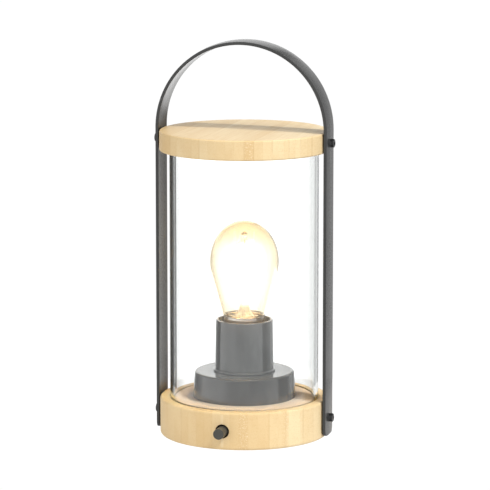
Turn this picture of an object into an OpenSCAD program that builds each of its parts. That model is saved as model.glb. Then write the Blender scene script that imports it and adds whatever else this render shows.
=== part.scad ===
// Cordless table lamp. A bamboo base and a bamboo lid hold a clear glass cylinder between
// them. One flat metal strap runs up both sides and over the top as the carrying handle.
// Inside the glass an E27 filament bulb stands in a lampholder on a low round cup.
// Millimetres, +Z up. The origin is on the lamp's axis, on the surface it stands on.
// The front, with the push button, is -Y. The charging port is at the rear, +Y.
// The strap's legs stand at +X and -X.

/* [Base] */
// Radius of the bamboo base and of the lid
wood_r = 55; // [55:0.5:58]
// Height of the bamboo base
base_h = 24.6; // [24.2:0.2:27]
// Height of the rubber foot ring below the wood
foot_gap = 0.8; // [0.5:0.1:1.5]
// Rounding of the base's top edge
base_top_round = 1.5; // [0.5:0.1:2.5]
// Rounding of the base's bottom edge
base_bottom_round = 1.8; // [0.5:0.1:2.5]

/* [Glass and lid] */
// Outer radius of the glass cylinder
glass_r = 48.5; // [47:0.5:50]
// Wall of the glass cylinder
glass_wall = 2.5; // [2:0.1:3.5]
// Length of glass that shows between the base and the lid
glass_seen = 162.1; // [150:0.1:175]
// Thickness of the bamboo lid
lid_h = 13; // [12:0.5:16]
// Rounding of the lid's edges
lid_round = 1; // [0.5:0.1:2]
// Depth of the ring grooves that hold the glass
groove_depth = 3.2; // [2.5:0.1:4]

/* [Strap handle] */
// Width of the flat strap
strap_w = 20; // [16:1:24]
// Thickness of the flat strap
strap_t = 2; // [1.5:0.5:3]
// Height of the leg ends above the table
leg_end_z = 2.5; // [1:0.5:5]
// Rounding of the corners of the leg ends
leg_end_round = 4.5; // [1:0.5:7]
// Height above the lid at which the legs turn into the arch
arch_rise = 0.8; // [0:0.1:20]

/* [Lampholder] */
// Radius of the cup at its foot
cup_foot_r = 33.6; // [31:0.2:36]
// Radius of the cup at its top
cup_top_r = 32.5; // [30:0.5:35]
// Height of the cup
cup_h = 17; // [15:0.5:18]
// Radius of the holder at its foot
holder_foot_r = 19.2; // [19:0.1:20]
// Radius of the holder at its mouth
holder_mouth_r = 18.6; // [18.6:0.1:19.2]
// Height of the holder
holder_h = 34; // [33:0.5:35]

/* [Bulb] */
// Radius of the glass bulb at its widest
bulb_r = 22.5; // [21:0.5:25]
// Height of the dome over the widest place
dome_rise = 26.5; // [24:0.5:30]
// Taper of the bulb's flank, in degrees from upright
flank_angle = 15.6; // [14:0.2:17]
// Height of the narrow end of the glass over the holder's mouth
bulb_neck_rise = 2.8; // [2.6:0.1:3.5]
// Radius of the cap's plain collar
collar_r = 13.2; // [13:0.1:13.5]
// Pitch of the rolled E27 thread
thread_pitch = 3.62; // [3.5:0.01:3.7]
// Half the depth of the rolled thread
thread_wave = 0.5; // [0.3:0.05:0.6]
// Gap from the cap's thread to the screw shell's thread
thread_gap = 0.3; // [0.2:0.05:0.4]

/* [Controls] */
// Radius of the push button
button_r = 3.5; // [3:0.1:4.5]
// How far the button stands out of the base
button_out = 9.3; // [4:0.1:12]
// Gap round the button in its hole
button_gap = 0.35; // [0.2:0.05:0.6]

/* [Hidden] */
$fn = 96;

// Heights of the stack, from the table up
base_z = foot_gap;
base_top = base_z + base_h;
lid_z = base_top + glass_seen;
lid_top = lid_z + lid_h;
arch_z = lid_top + arch_rise;
cup_top = base_top + cup_h;
holder_mouth = cup_top + holder_h;

// The hollow under the base and what closes it
cover_t = 2.2;
cover_rim = 7.2;
cover_gap = 0.2;
cover_r = wood_r - cover_rim;
cover_top = base_z + cover_t;
ceiling_t = 7.1;
ceiling_z = base_top - ceiling_t;
cover_screw_in = 3;
cover_screw_ring = cover_r - cover_screw_in;
cover_screw_angles = [45, 135, 225, 315];
cover_screw_r = 1.25;
cover_screw_bite = 7;
cover_screw_top = cover_top + cover_screw_bite;
cover_head_r = 2.4;
cover_head_h = 1.2;
cover_cross = [2.8, 0.5, 1.2];
cover_ledge = 2.8;
cavity_r = cover_screw_ring - cover_ledge;
foot_sunk = 1;
foot_in = 4.8;
foot_w = 7;
foot_outer_r = cover_screw_ring - foot_in;
foot_inner_r = foot_outer_r - foot_w;
foot_edge = 0.4;

// The glass in its grooves
gasket_t = 0.8;
groove_gap = 0.4;
glass_z = base_top - groove_depth + gasket_t;
glass_len = glass_seen + 2 * (groove_depth - gasket_t);

// Strap screws and the brass inserts that take them
strap_r = wood_r + strap_t;
leg_screw_rise = 12.9;
lid_screw_drop = 0.3;
screw_heights = [base_z + leg_screw_rise, lid_z + lid_h / 2 - lid_screw_drop];
screw_r = 1.45;
screw_len = 8;
screw_head_r = 2.75;
screw_head_h = 3;
screw_hole_r = 1.7;
socket_af = 2.5;
socket_depth = 1.6;
insert_r = 2.6;
insert_bore_r = 1.5;
insert_len = 6.5;
insert_sunk = 0.7;
insert_hole_len = 9.2;

// Button, switch and the cheeks on the cover that hold the switch
control_rise = 12.3;
button_z = base_z + control_rise;
button_front = -(wood_r + button_out);
button_grip = 4.8;
button_edge = 0.6;
plunger_r = 1.85;
plunger_len = 12;
plunger_gap = 0.1;
switch_in = 1.5;
switch_w = 8.5;
switch_front = -(cavity_r - switch_in);
switch_len = 9;
switch_bore_len = 7.2;
button_travel_room = 2.7;
button_back = switch_front - button_travel_room;
plunger_front = button_back - button_grip;
cheek_t = 1.8;
cheek_h = 5.5;
pin_len = 2.5;
pin_x = 2.2;
pin_w = 1;
pin_t = 0.4;
pin_end = switch_front + switch_len + pin_len;

// Charging port and board
port_z = base_z + control_rise;
port_w = 8.9;
port_h = 3.2;
port_len = 7.4;
port_wall = 0.3;
port_in = 1.6;
port_mouth = wood_r - port_in;
tongue = [6.6, 5.5, 0.7];
bezel_w = 12.6;
bezel_h = 6.8;
bezel_proud = 0.05;
bezel_depth = 2.6;
bezel_in = wood_r - bezel_depth;
bezel_out = wood_r + bezel_proud;
bezel_slot_gap = 0.2;
nose_half = 7;
pocket_half = 8;
board_t = 1.2;
board_z = port_z - port_h / 2 - board_t;
board_top = board_z + board_t;
board_half = 12;
board_len = 21.5;
board_back = cavity_r - 2.5;
board_front = board_back - board_len;
board_nose_end = bezel_in - 0.4;
post_r = 2.2;
post_x = board_half - 2.6;
post_places = [for (y = [board_front + 2.6, board_back - 3.5], x = [-post_x, post_x]) [x, y]];
board_screw_r = 0.9;
board_screw_head_r = 1.8;
board_screw_head_h = 1.1;
board_screw_len = 5;
board_cross = [2.2, 0.4, 1];
chips = [[[-4, board_front + 9], [5, 4, 1]],
    [[-7, board_front + 14.5], [3, 3, 0.9]],
    [[-5.6, board_back + 0.9], [2, 3.2, 1]]];
coil_at = [5, board_front + 10];
coil_r = 2.6;
coil_h = 2.8;

// Battery, with the seam of its foil pouch at one end. Its outer corner stands near the wood,
// and its seam ends at the board.
battery_angle = 216;
battery_gap = 1.2;
battery_at = (cavity_r - battery_gap) * [cos(battery_angle), sin(battery_angle)];
battery_side = -7;
seam_len = 2;
seam_in = 1;
seam_h = 3;
seam_end = board_front;
battery_size = [battery_side - battery_at.x, seam_end - seam_len - battery_at.y, 9];
seam_z = cover_top + battery_size.z / 2;
rib_in = 4;
rib_t = 1;
rib_h = 3;

// Threaded rod that joins the holder, the cup and the base
nipple_r = 5;
nipple_bore_r = 3.6;
washer_t = 1;
washer_r = 9;
nut_h = 3;
nut_af = 14;
nut_top = ceiling_z - washer_t;
nipple_z = nut_top - nut_h - 1;

// Lead terminals in a row on the board: battery, lamp, switch
terminal_pitch = 2.5;
terminal_row = [for (i = [0 : 5]) (i - 2.5) * terminal_pitch];
terminal_front = board_front + 3.4;
terminal_w = 1.8;
terminal_len = 2.4;
lead_z = board_top + terminal_w / 2;
lead_lanes = [nipple_r + 4, nipple_r + 1];
lead_lane_z = cover_top + 4;
lane_lead = 13;
lane_rise = 9.4;
lane_join = 5;
rise_lane = 1.7;
wire_r = 0.7;
bend_fullness = 1.06;
bend_stop = 0.28;

// Cup and holder
cup_wall = 2;
cup_round = 1.6;
holder_floor_t = 2.8;
holder_foot_ring_out = 1.1;
holder_foot_ring_r = holder_foot_r + holder_foot_ring_out;
holder_foot_ring_h = 1.3;
holder_floor = cup_top + holder_floor_t;
nipple_rise = 0.9;
nipple_top = holder_floor + nipple_rise;
lead_room = 3;
ledge_z = holder_floor + lead_room;
bore_r = 16.9;
ledge_r = 14.4;
insulator_h = 3;
insulator_top = ledge_z + insulator_h;
tab_t = 0.5;
tab_w = 4;
tab_over = 1.3;
terminal_x = 9.6;
terminal_head_r = 2.2;
terminal_head_h = 1;
terminal_slot = [3, 0.6, 0.8];
terminal_shank_r = 1.2;
terminal_shank_in = 0.6;
contact_r = 3;
contact_rise = 0.3;

// Bulb glass
bulb_neck_z = holder_mouth + bulb_neck_rise;
shoulder_round = 1.2;
shoulder_r = 14.3;
blend_r = 36;
flank_top_r = bulb_r - blend_r * (1 - cos(flank_angle));
flank_h = (flank_top_r - shoulder_r) / tan(flank_angle);
bulb_mid = bulb_neck_z + shoulder_round + flank_h + blend_r * sin(flank_angle);
bulb_wall = 0.8;
neck_r = 12.55;
neck_len = 3;
neck_foot = bulb_neck_z - neck_len;

// Bulb cap and its thread
collar_gap = 0.2;
collar_top = bulb_neck_z - collar_gap;
collar_h = 3.4;
collar_foot = collar_top - collar_h;
collar_lip = 0.15;
collar_lip_h = 0.5;
cap_mean_r = collar_r - 0.05 - thread_wave;
cap_plain_r = 12;
cap_sheet = 0.4;
cap_inner_r = cap_plain_r - cap_sheet;
cap_neck_inner_r = 12.75;
cap_shoulder_h = 2;
thread_top = collar_foot - cap_shoulder_h;
tip_gap = 0.2;
tip_z = insulator_top + tab_t + contact_rise + tip_gap;
tip_r = 4.6;
tip_h = 1.1;
tip_taper = 1.2;
tip_margin = 0.8;
tip_drop = 2.8;
cap_foot = tip_z + tip_drop;
cap_seal_h = 2;
cap_seal_gap = 0.1;
fade_h = 1.6;
thread_steps = 8;
thread_sides = 36;

// Screw shell of the holder
shell_mean_r = cap_mean_r + thread_gap;
shell_outer_r = 14;
shell_over = 0.6;
shell_top = thread_top + shell_over;
shell_foot = insulator_top;
shell_mouth_r = 13.7;
shell_lead = 1;
shell_flange_r = 11.2;

// Inside of the bulb
stem_r = 1.6;
stem_hold = 0.9;
stem_flare_r = 11.2;
stem_in = 0.4;
stem_foot = neck_foot + stem_in;
flare_h = 8;
flare_t = 0.9;
flare_lip = 1;
rod_rise = 4;
bead_r = stem_r + 0.4;
bead_rise = 7;
filament_r = 0.9;
filament_len = 36;
filament_drop = 27;
filament_z = bulb_mid - filament_drop;
filament_ring = 5.6;
filament_angles = [20, 110, 200, 290];
filament_lean = 2;
filament_pin = 1.2;
support_r = 0.25;
support_rise = 3;
support_drop = 2.5;
cross_z = filament_z + filament_len + filament_pin;
stem_top = cross_z + bead_rise;

// A square corner less its quarter circle, to round a section's corner
module corner_cut(r) {
    difference() {
        square([2 * r, 2 * r]);
        circle(r = r);
    }
}

// Half section of a disc with rounded outer edges, its foot at z = 0
module disc_section(r, h, top_round, foot_round) {
    difference() {
        square([r, h]);
        translate([r - top_round, h - top_round])
            corner_cut(top_round);
        translate([r - foot_round, foot_round])
            mirror([0, 1])
                corner_cut(foot_round);
    }
}

// Half section of the ring groove that takes the glass, from height z0 up
module groove_section(z0, h) {
    translate([glass_r - glass_wall - groove_gap, z0])
        square([glass_wall + 2 * groove_gap, h]);
}

// A round rod from point a to point b
module rod(a, b, r) {
    d = b - a;
    len = norm(d);
    translate(a)
        rotate([0, acos(d.z / len), atan2(d.y, d.x)])
            cylinder(h = len, r = r);
}

// A thin wire through a list of points. A slightly fuller ball fills each bend, and the
// straight pieces stop just short of its middle.
module wire(points, r) {
    $fn = 16;
    last = len(points) - 1;
    for (i = [1 : last])
        let (
            dir = (points[i] - points[i - 1]) / norm(points[i] - points[i - 1]),
            from = points[i - 1] + (i == 1 ? 0 : bend_stop * r) * dir,
            to = points[i] - (i == last ? 0 : bend_stop * r) * dir
        )
        rod(from, to, r);
    if (last > 1)
        for (i = [1 : last - 1])
            translate(points[i])
                sphere(r = bend_fullness * r);
}

// A slot outline with round ends, w wide along x and h high along y
module slot_outline(w, h) {
    square([w - h, h], center = true);
    for (side = [-1, 1])
        translate([side * (w - h) / 2, 0])
            circle(d = h);
}

// A slot shaped bar along +Y from y0 to y1, centred on the port's height
module port_bar(w, h, y0, y1) {
    translate([0, y1, port_z])
        rotate([90, 0, 0])
            linear_extrude(height = y1 - y0)
                slot_outline(w, h);
}

// A cylinder along +X from x0 to x1 at height z
module bar_x(x0, x1, r, z, sides = $fn) {
    translate([x0, 0, z])
        rotate([0, 90, 0])
            cylinder(h = x1 - x0, r = r, $fn = sides);
}

// A cylinder along +Y from y0 to y1 at height z
module bar_y(y0, y1, r, z) {
    translate([0, y0, z])
        rotate([-90, 0, 0])
            cylinder(h = y1 - y0, r = r);
}

// Children at both legs of the strap, each turned to face outwards along +X
module both_sides() {
    for (turn = [0, 180])
        rotate([0, 0, turn])
            children();
}

// Holes in the wood for the brass inserts, at height z
module insert_holes(z) {
    both_sides()
        bar_x(wood_r - insert_hole_len, wood_r + 1, insert_r, z);
}

module base_drum() {
    color("burlywood")
    difference() {
        rotate_extrude()
            difference() {
                translate([0, base_z])
                    disc_section(wood_r, base_h, base_top_round, base_bottom_round);
                translate([0, base_z - 1])
                    square([cover_r + cover_gap, cover_t + 1]);
                translate([0, base_z])
                    square([cavity_r, ceiling_z - base_z]);
                groove_section(base_top - groove_depth, groove_depth + 1);
            }
        translate([0, 0, ceiling_z - 1])
            cylinder(h = base_top - ceiling_z + 2, r = nipple_r);
        insert_holes(screw_heights[0]);
        bar_y(-(wood_r + 1), -cavity_r + 2, button_r + button_gap, button_z);
        port_bar(bezel_w, bezel_h, bezel_in - 1, wood_r + 1);
        translate([-pocket_half, cavity_r - 3, cover_top - 0.1])
            cube([2 * pocket_half, bezel_in - cavity_r + 3, ceiling_z - cover_top + 0.1]);
        for (angle = cover_screw_angles)
            rotate([0, 0, angle])
                translate([cover_screw_ring, 0, cover_top - 1])
                    cylinder(h = cover_screw_top - cover_top + 1, r = cover_screw_r);
    }
}

// The plastic cover carries the battery, the board and the switch
module bottom_cover() {
    color("dimgray")
    difference() {
        union() {
            translate([0, 0, base_z])
                cylinder(h = cover_t, r = cover_r);
            for (place = post_places)
                translate([place.x, place.y, cover_top - 0.1])
                    cylinder(h = board_z - cover_top + 0.1, r = post_r);
            switch_seat();
            battery_ribs();
        }
        for (place = post_places)
            translate([place.x, place.y, board_z - board_screw_len + board_t])
                cylinder(h = board_screw_len, r = board_screw_r);
        translate([0, 0, base_z - 1])
            difference() {
                cylinder(h = foot_sunk + 1, r = foot_outer_r);
                cylinder(h = foot_sunk + 1, r = foot_inner_r);
            }
        for (angle = cover_screw_angles)
            rotate([0, 0, angle])
                translate([cover_screw_ring, 0, base_z]) {
                    cylinder(h = cover_head_h, r1 = cover_head_r, r2 = cover_screw_r);
                    cylinder(h = cover_t + 1, r = cover_screw_r);
                }
    }
}

// Block and two cheeks in which the switch sits
module switch_seat() {
    seat_top = button_z - switch_w / 2;
    outer_w = switch_w + 2 * cheek_t;
    translate([-outer_w / 2, switch_front, cover_top - 0.1])
        cube([outer_w, switch_len, seat_top - cover_top + 0.1]);
    for (side = [-1, 1])
        translate([side * (switch_w + cheek_t) / 2, switch_front + switch_len / 2, seat_top])
            translate([0, 0, cheek_h / 2 - 0.1])
                cube([cheek_t, switch_len, cheek_h + 0.2], center = true);
}

// Low ribs along two sides of the battery
module battery_ribs() {
    rib = [battery_size.x - 2 * rib_in, rib_t, rib_h];
    for (y = [battery_at.y - rib_t, battery_at.y + battery_size.y])
        translate([battery_at.x + rib_in, y, cover_top - 0.1])
            cube(rib);
}

module cover_screws() {
    color("silver")
    for (angle = cover_screw_angles)
        rotate([0, 0, angle])
            translate([cover_screw_ring, 0, base_z])
                difference() {
                    union() {
                        cylinder(h = cover_head_h, r1 = cover_head_r, r2 = cover_screw_r);
                        cylinder(h = cover_screw_top - base_z, r = cover_screw_r);
                    }
                    for (turn = [0, 90])
                        rotate([0, 0, turn])
                            translate([0, 0, cover_cross.z / 4])
                                cube(cover_cross, center = true);
                }
}

// One ring of rubber, let into the cover, with its lower edges rounded
module foot_ring() {
    h = foot_gap + foot_sunk;
    color("black")
    rotate_extrude()
        difference() {
            translate([0, h])
                mirror([0, 1])
                    disc_section(foot_outer_r, h, foot_edge, 0.01);
            square([foot_inner_r, h]);
            translate([foot_inner_r + foot_edge, foot_edge])
                rotate([0, 0, 180])
                    corner_cut(foot_edge);
        }
}

// A flat lithium cell with the folded seam of its foil pouch
module battery_pack() {
    color("lightsteelblue")
    translate([battery_at.x, battery_at.y, cover_top]) {
        cube(battery_size);
        translate([seam_in, battery_size.y - 0.1, (battery_size.z - seam_h) / 2])
            cube([battery_size.x - 2 * seam_in, seam_len + 0.1, seam_h]);
    }
}

// Outline of the board with its nose towards the port
module board_outline() {
    translate([-board_half, board_front])
        square([2 * board_half, board_back - board_front]);
    translate([-nose_half, board_back - 1])
        square([2 * nose_half, board_nose_end - board_back + 1]);
}

module control_board() {
    color("darkgreen")
    translate([0, 0, board_z])
        difference() {
            linear_extrude(height = board_t)
                board_outline();
            for (place = post_places)
                translate([place.x, place.y, -1])
                    cylinder(h = board_t + 2, r = board_screw_r);
        }
}

// Charge controller, boost converter, coil and the lead terminals on the board
module board_chips() {
    color("black")
    translate([0, 0, board_top]) {
        for (chip = chips)
            translate([chip[0].x, chip[0].y, 0])
                cube(chip[1]);
        translate([coil_at.x, coil_at.y, 0])
            cylinder(h = coil_h, r = coil_r);
        for (x = terminal_row)
            translate([x - terminal_w / 2, terminal_front, 0])
                cube([terminal_w, terminal_len, terminal_w]);
    }
}

module board_screws() {
    color("silver")
    for (place = post_places)
        translate([place.x, place.y, board_top]) {
            translate([0, 0, -board_screw_len])
                cylinder(h = board_screw_len, r = board_screw_r);
            difference() {
                cylinder(h = board_screw_head_h, r = board_screw_head_r);
                for (turn = [0, 90])
                    rotate([0, 0, turn])
                        translate([0, 0, board_screw_head_h])
                            cube(board_cross, center = true);
            }
        }
}

// Steel shell of the charging port, with its tongue inside
module usb_receptacle() {
    color("silver") {
        difference() {
            port_bar(port_w, port_h, port_mouth - port_len, port_mouth);
            port_bar(port_w - 2 * port_wall, port_h - 2 * port_wall,
                port_mouth - port_len + 1, port_mouth + 1);
        }
        translate([-tongue.x / 2, port_mouth - port_len + 0.9, port_z - tongue.z / 2])
            cube(tongue);
    }
}

module usb_bezel() {
    color("black")
    difference() {
        port_bar(bezel_w, bezel_h, bezel_in, bezel_out);
        port_bar(port_w + 2 * bezel_slot_gap, port_h + 2 * bezel_slot_gap,
            bezel_in - 1, bezel_out + 1);
    }
}

module push_switch() {
    color("dimgray")
    difference() {
        union() {
            translate([-switch_w / 2, switch_front, button_z - switch_w / 2])
                cube([switch_w, switch_len, switch_w]);
            for (x = [-pin_x, pin_x])
                translate([x - pin_w / 2, switch_front + switch_len - 0.1, button_z - pin_t / 2])
                    cube([pin_w, pin_len + 0.1, pin_t]);
        }
        bar_y(switch_front - 1, switch_front + switch_bore_len, plunger_r + plunger_gap,
            button_z);
    }
}

module switch_plunger() {
    color("white")
    bar_y(plunger_front, plunger_front + plunger_len, plunger_r, button_z);
}

// Round cap pushed on the plunger, with a rounded front edge
module power_button() {
    color("black")
    difference() {
        translate([0, button_back, button_z])
            rotate([90, 0, 0])
                rotate_extrude()
                    disc_section(button_r, button_back - button_front, button_edge, 0.2);
        bar_y(plunger_front, button_back + 1, plunger_r, button_z);
    }
}

module battery_leads() {
    rise_z = lead_z + 2.2;
    seam_mid = battery_at.x + battery_size.x / 2;
    color("firebrick")
    for (i = [0, 1])
        let (x = seam_mid - 2 + 3 * i, y = terminal_front - 2 - 2.2 * i)
        wire([[x, seam_end, seam_z],
            [x, seam_end + 1.2, seam_z],
            [x + 1, y, rise_z],
            [terminal_row[i], y, rise_z],
            [terminal_row[i], terminal_front - 1.2 - 0.6 * i, lead_z],
            [terminal_row[i], terminal_front, lead_z]], wire_r);
}

module switch_leads() {
    color("white")
    for (i = [0, 1])
        let (x = pin_x - 2 * pin_x * i, end_x = terminal_row[5 - i])
        wire([[x, pin_end, button_z],
            [x, pin_end + 1.6, button_z],
            [lead_lanes[i], pin_end + lane_lead, lead_lane_z],
            [lead_lanes[i], terminal_front - lane_rise, lead_lane_z],
            [end_x, terminal_front - lane_join, lead_z],
            [end_x, terminal_front, lead_z]], wire_r);
}

// Two leads from the board up through the threaded rod to the holder's terminals
module lamp_leads() {
    over_z = (nipple_top + ledge_z) / 2 - 0.15;
    color("gold")
    for (i = [0, 1])
        let (x = terminal_row[2 + i], side = 2 * i - 1, rise_x = side * rise_lane)
        wire([[x, terminal_front, lead_z],
            [x, terminal_front - 4.4, lead_z],
            [x, terminal_front - 7.4, lead_z - 1.2],
            [rise_x, nipple_bore_r, lead_z - 1.4],
            [rise_x, 0, lead_z - 0.4],
            [rise_x, 0, over_z],
            [side * terminal_x, 0, over_z],
            [side * terminal_x, 0, ledge_z]], wire_r);
}

module gasket(z0) {
    color("whitesmoke")
    rotate_extrude()
        groove_section(z0, gasket_t);
}

module lower_gasket() {
    gasket(base_top - groove_depth);
}

module upper_gasket() {
    gasket(lid_z + groove_depth - gasket_t);
}

module glass_cylinder() {
    color("lightcyan", 0.35)
    translate([0, 0, glass_z])
        difference() {
            cylinder(h = glass_len, r = glass_r);
            translate([0, 0, -1])
                cylinder(h = glass_len + 2, r = glass_r - glass_wall);
        }
}

module lid_disc() {
    color("wheat")
    difference() {
        rotate_extrude()
            difference() {
                translate([0, lid_z])
                    disc_section(wood_r, lid_h, lid_round, lid_round);
                groove_section(lid_z - 1, groove_depth + 1);
            }
        insert_holes(screw_heights[1]);
    }
}

// The strap seen from the front: two legs and a half round arch
module strap_front_outline() {
    for (side = [-1, 1])
        translate([side * (wood_r + strap_t / 2) - strap_t / 2, leg_end_z])
            square([strap_t, arch_z - leg_end_z]);
    translate([0, arch_z])
        difference() {
            circle(r = strap_r);
            circle(r = wood_r);
            translate([-strap_r - 1, -strap_r - 1])
                square([2 * strap_r + 2, strap_r + 1]);
        }
}

// The strap seen from the side: a bar with rounded lower corners
module strap_side_outline() {
    translate([-strap_w / 2, leg_end_z])
        difference() {
            square([strap_w, arch_z + strap_r]);
            translate([strap_w - leg_end_round, leg_end_round])
                mirror([0, 1])
                    corner_cut(leg_end_round);
            translate([leg_end_round, leg_end_round])
                rotate([0, 0, 180])
                    corner_cut(leg_end_round);
        }
}

module strap_handle() {
    color("dimgray")
    difference() {
        intersection() {
            translate([0, strap_w / 2, 0])
                rotate([90, 0, 0])
                    linear_extrude(height = strap_w)
                        strap_front_outline();
            translate([-strap_r - 1, 0, 0])
                rotate([90, 0, 90])
                    linear_extrude(height = 2 * strap_r + 2)
                        strap_side_outline();
        }
        for (z = screw_heights)
            both_sides()
                bar_x(wood_r - 1, strap_r + 1, screw_hole_r, z);
    }
}

// Cap head screws with a hexagon socket, two on each leg
module strap_screws() {
    color("black")
    for (z = screw_heights)
        both_sides()
            difference() {
                union() {
                    bar_x(strap_r - screw_len, strap_r + 0.1, screw_r, z);
                    translate([strap_r, 0, z])
                        rotate([0, 90, 0])
                            rotate_extrude()
                                disc_section(screw_head_r, screw_head_h, 0.4, 0.05);
                }
                bar_x(strap_r + screw_head_h - socket_depth, strap_r + screw_head_h + 1,
                    socket_af / 2 / cos(30), z, sides = 6);
            }
}

module threaded_inserts() {
    color("goldenrod")
    for (z = screw_heights)
        both_sides()
            difference() {
                bar_x(wood_r - insert_sunk - insert_len, wood_r - insert_sunk, insert_r, z);
                bar_x(wood_r - insert_hole_len, wood_r, insert_bore_r, z);
            }
}

// Low cup that hides the joint of the holder with the base, open below
module lampholder_cup() {
    inside_foot = cup_foot_r - cup_wall;
    inside_top = cup_top_r - cup_wall;
    color("gray")
    translate([0, 0, base_top])
        rotate_extrude()
            difference() {
                polygon([[0, 0], [cup_foot_r, 0], [cup_top_r, cup_h - cup_round],
                    [cup_top_r, cup_h], [0, cup_h]]);
                translate([cup_top_r - cup_round, cup_h - cup_round])
                    corner_cut(cup_round);
                polygon([[0, -1], [inside_foot, -1], [inside_top, cup_h - cup_wall],
                    [0, cup_h - cup_wall]]);
                square([nipple_r, cup_h + 1]);
            }
}

module threaded_nipple() {
    color("goldenrod")
    difference() {
        translate([0, 0, nipple_z])
            cylinder(h = nipple_top - nipple_z, r = nipple_r);
        translate([0, 0, nipple_z - 1])
            cylinder(h = nipple_top - nipple_z + 2, r = nipple_bore_r);
    }
}

module nipple_washer() {
    color("silver")
    translate([0, 0, nut_top])
        difference() {
            cylinder(h = washer_t, r = washer_r);
            translate([0, 0, -1])
                cylinder(h = washer_t + 2, r = nipple_r);
        }
}

module nipple_nut() {
    color("goldenrod")
    translate([0, 0, nut_top - nut_h])
        difference() {
            cylinder(h = nut_h, r = nut_af / 2 / cos(30), $fn = 6);
            translate([0, 0, -1])
                cylinder(h = nut_h + 2, r = nipple_r);
        }
}

// Tapered holder with a foot ring, a floor, and a ledge for the insulator
module lampholder_body() {
    mouth_round = 0.7;
    color("gray")
    translate([0, 0, cup_top])
        rotate_extrude()
            difference() {
                union() {
                    polygon([[0, 0], [holder_foot_r, 0],
                        [holder_mouth_r, holder_h - mouth_round],
                        [holder_mouth_r, holder_h], [0, holder_h]]);
                    disc_section(holder_foot_ring_r, holder_foot_ring_h, 0.6, 0.05);
                }
                translate([holder_mouth_r - mouth_round, holder_h - mouth_round])
                    corner_cut(mouth_round);
                translate([0, ledge_z - cup_top])
                    square([bore_r, holder_h]);
                translate([0, holder_floor_t])
                    square([ledge_r, holder_h]);
                translate([0, -1])
                    square([nipple_r, holder_h]);
            }
}

// Ceramic disc that carries the screw shell and the contact
module holder_insulator() {
    color("white")
    translate([0, 0, ledge_z])
        difference() {
            cylinder(h = insulator_h, r = bore_r);
            for (side = [-1, 1])
                translate([side * terminal_x, 0, -1])
                    cylinder(h = insulator_h + 2, r = terminal_shank_r);
        }
}

module centre_contact() {
    color("gold")
    translate([0, 0, insulator_top]) {
        difference() {
            union() {
                cylinder(h = tab_t + contact_rise, r = contact_r);
                translate([-terminal_x - tab_over, -tab_w / 2, 0])
                    cube([terminal_x + tab_over, tab_w, tab_t]);
            }
            translate([-terminal_x, 0, -1])
                cylinder(h = 3, r = terminal_shank_r);
        }
    }
}

// One screw clamps the contact's tab and one the screw shell's flange
module terminal_screws() {
    color("silver")
    for (side = [-1, 1])
        translate([side * terminal_x, 0, 0]) {
            translate([0, 0, ledge_z + terminal_shank_in])
                cylinder(h = insulator_h + tab_t - terminal_shank_in, r = terminal_shank_r);
            translate([0, 0, insulator_top + tab_t])
                difference() {
                    cylinder(h = terminal_head_h, r = terminal_head_r);
                    translate([0, 0, terminal_head_h])
                        cube(terminal_slot, center = true);
                }
        }
}

// How far a thread has grown at height z: 0 outside, 1 within, smooth over fade_h
function ramp(t) = t <= 0 ? 0 : t >= 1 ? 1 : t * t * (3 - 2 * t);
function fade(z, foot, top) = ramp((z - foot) / fade_h) * ramp((top - z) / fade_h);

// Radius of the rolled thread at height z and angle a, right handed
function thread_r(mean, z, a) =
    mean + thread_wave * cos(360 * (z - cap_foot) / thread_pitch - a);

// Heights of the rows between two ends, thread_steps of them to each pitch
function row_heights(z0, z1) =
    let (count = ceil((z1 - z0) / thread_pitch * thread_steps))
    [for (k = [0 : count]) z0 + (z1 - z0) * k / count];

// Radius of the cap's outside: plain foot, thread, then plain collar
function cap_outer(z, a) =
    let (
        low = ramp((z - cap_foot) / fade_h),
        high = ramp((z - thread_top) / (collar_foot - thread_top)),
        threaded = cap_plain_r + low * (thread_r(cap_mean_r, z, a) - cap_plain_r)
    )
    threaded + high * (collar_r - threaded);

// Radius of the screw shell's inside: thread, opened out at both ends
function shell_inner(z, a) =
    let (grown = fade(z, shell_foot + shell_lead, shell_top))
    shell_mouth_r + grown * (thread_r(shell_mean_r, z, a) - shell_mouth_r);

// One ring of points; rows of [radius, height] for each angle
function plain_row(r, z) = [for (i = [0 : thread_sides - 1]) ring_point(r, z, i)];
function ring_point(r, z, i) =
    let (a = 360 * i / thread_sides)
    [r * cos(a), r * sin(a), z];
function cap_row(z) =
    [for (i = [0 : thread_sides - 1]) ring_point(cap_outer(z, 360 * i / thread_sides), z, i)];
function shell_row(z) =
    [for (i = [0 : thread_sides - 1]) ring_point(shell_inner(z, 360 * i / thread_sides), z, i)];

// A closed ring from rows of points that run up the outside and down the inside
module ring_mesh(rows) {
    n = thread_sides;
    m = len(rows);
    faces = [for (k = [0 : m - 1], i = [0 : n - 1])
        let (
            here = k * n,
            next = (k + 1) % m * n,
            j = (i + 1) % n
        )
        each [[here + i, next + i, next + j], [here + i, next + j, here + j]]];
    polyhedron(points = [for (row = rows) each row], faces = faces, convexity = 8);
}

// Rolled sheet shell in which the bulb's cap turns
module screw_shell() {
    inner = row_heights(shell_foot + shell_lead, shell_top);
    last = len(inner) - 1;
    color("goldenrod")
    ring_mesh(concat(
        [plain_row(shell_outer_r, shell_foot), plain_row(shell_outer_r, shell_top)],
        [for (k = [last : -1 : 0]) shell_row(inner[k])],
        [plain_row(shell_mouth_r - tab_t, shell_foot + tab_t),
            plain_row(shell_flange_r, shell_foot + tab_t),
            plain_row(shell_flange_r, shell_foot)]));
}

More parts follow.
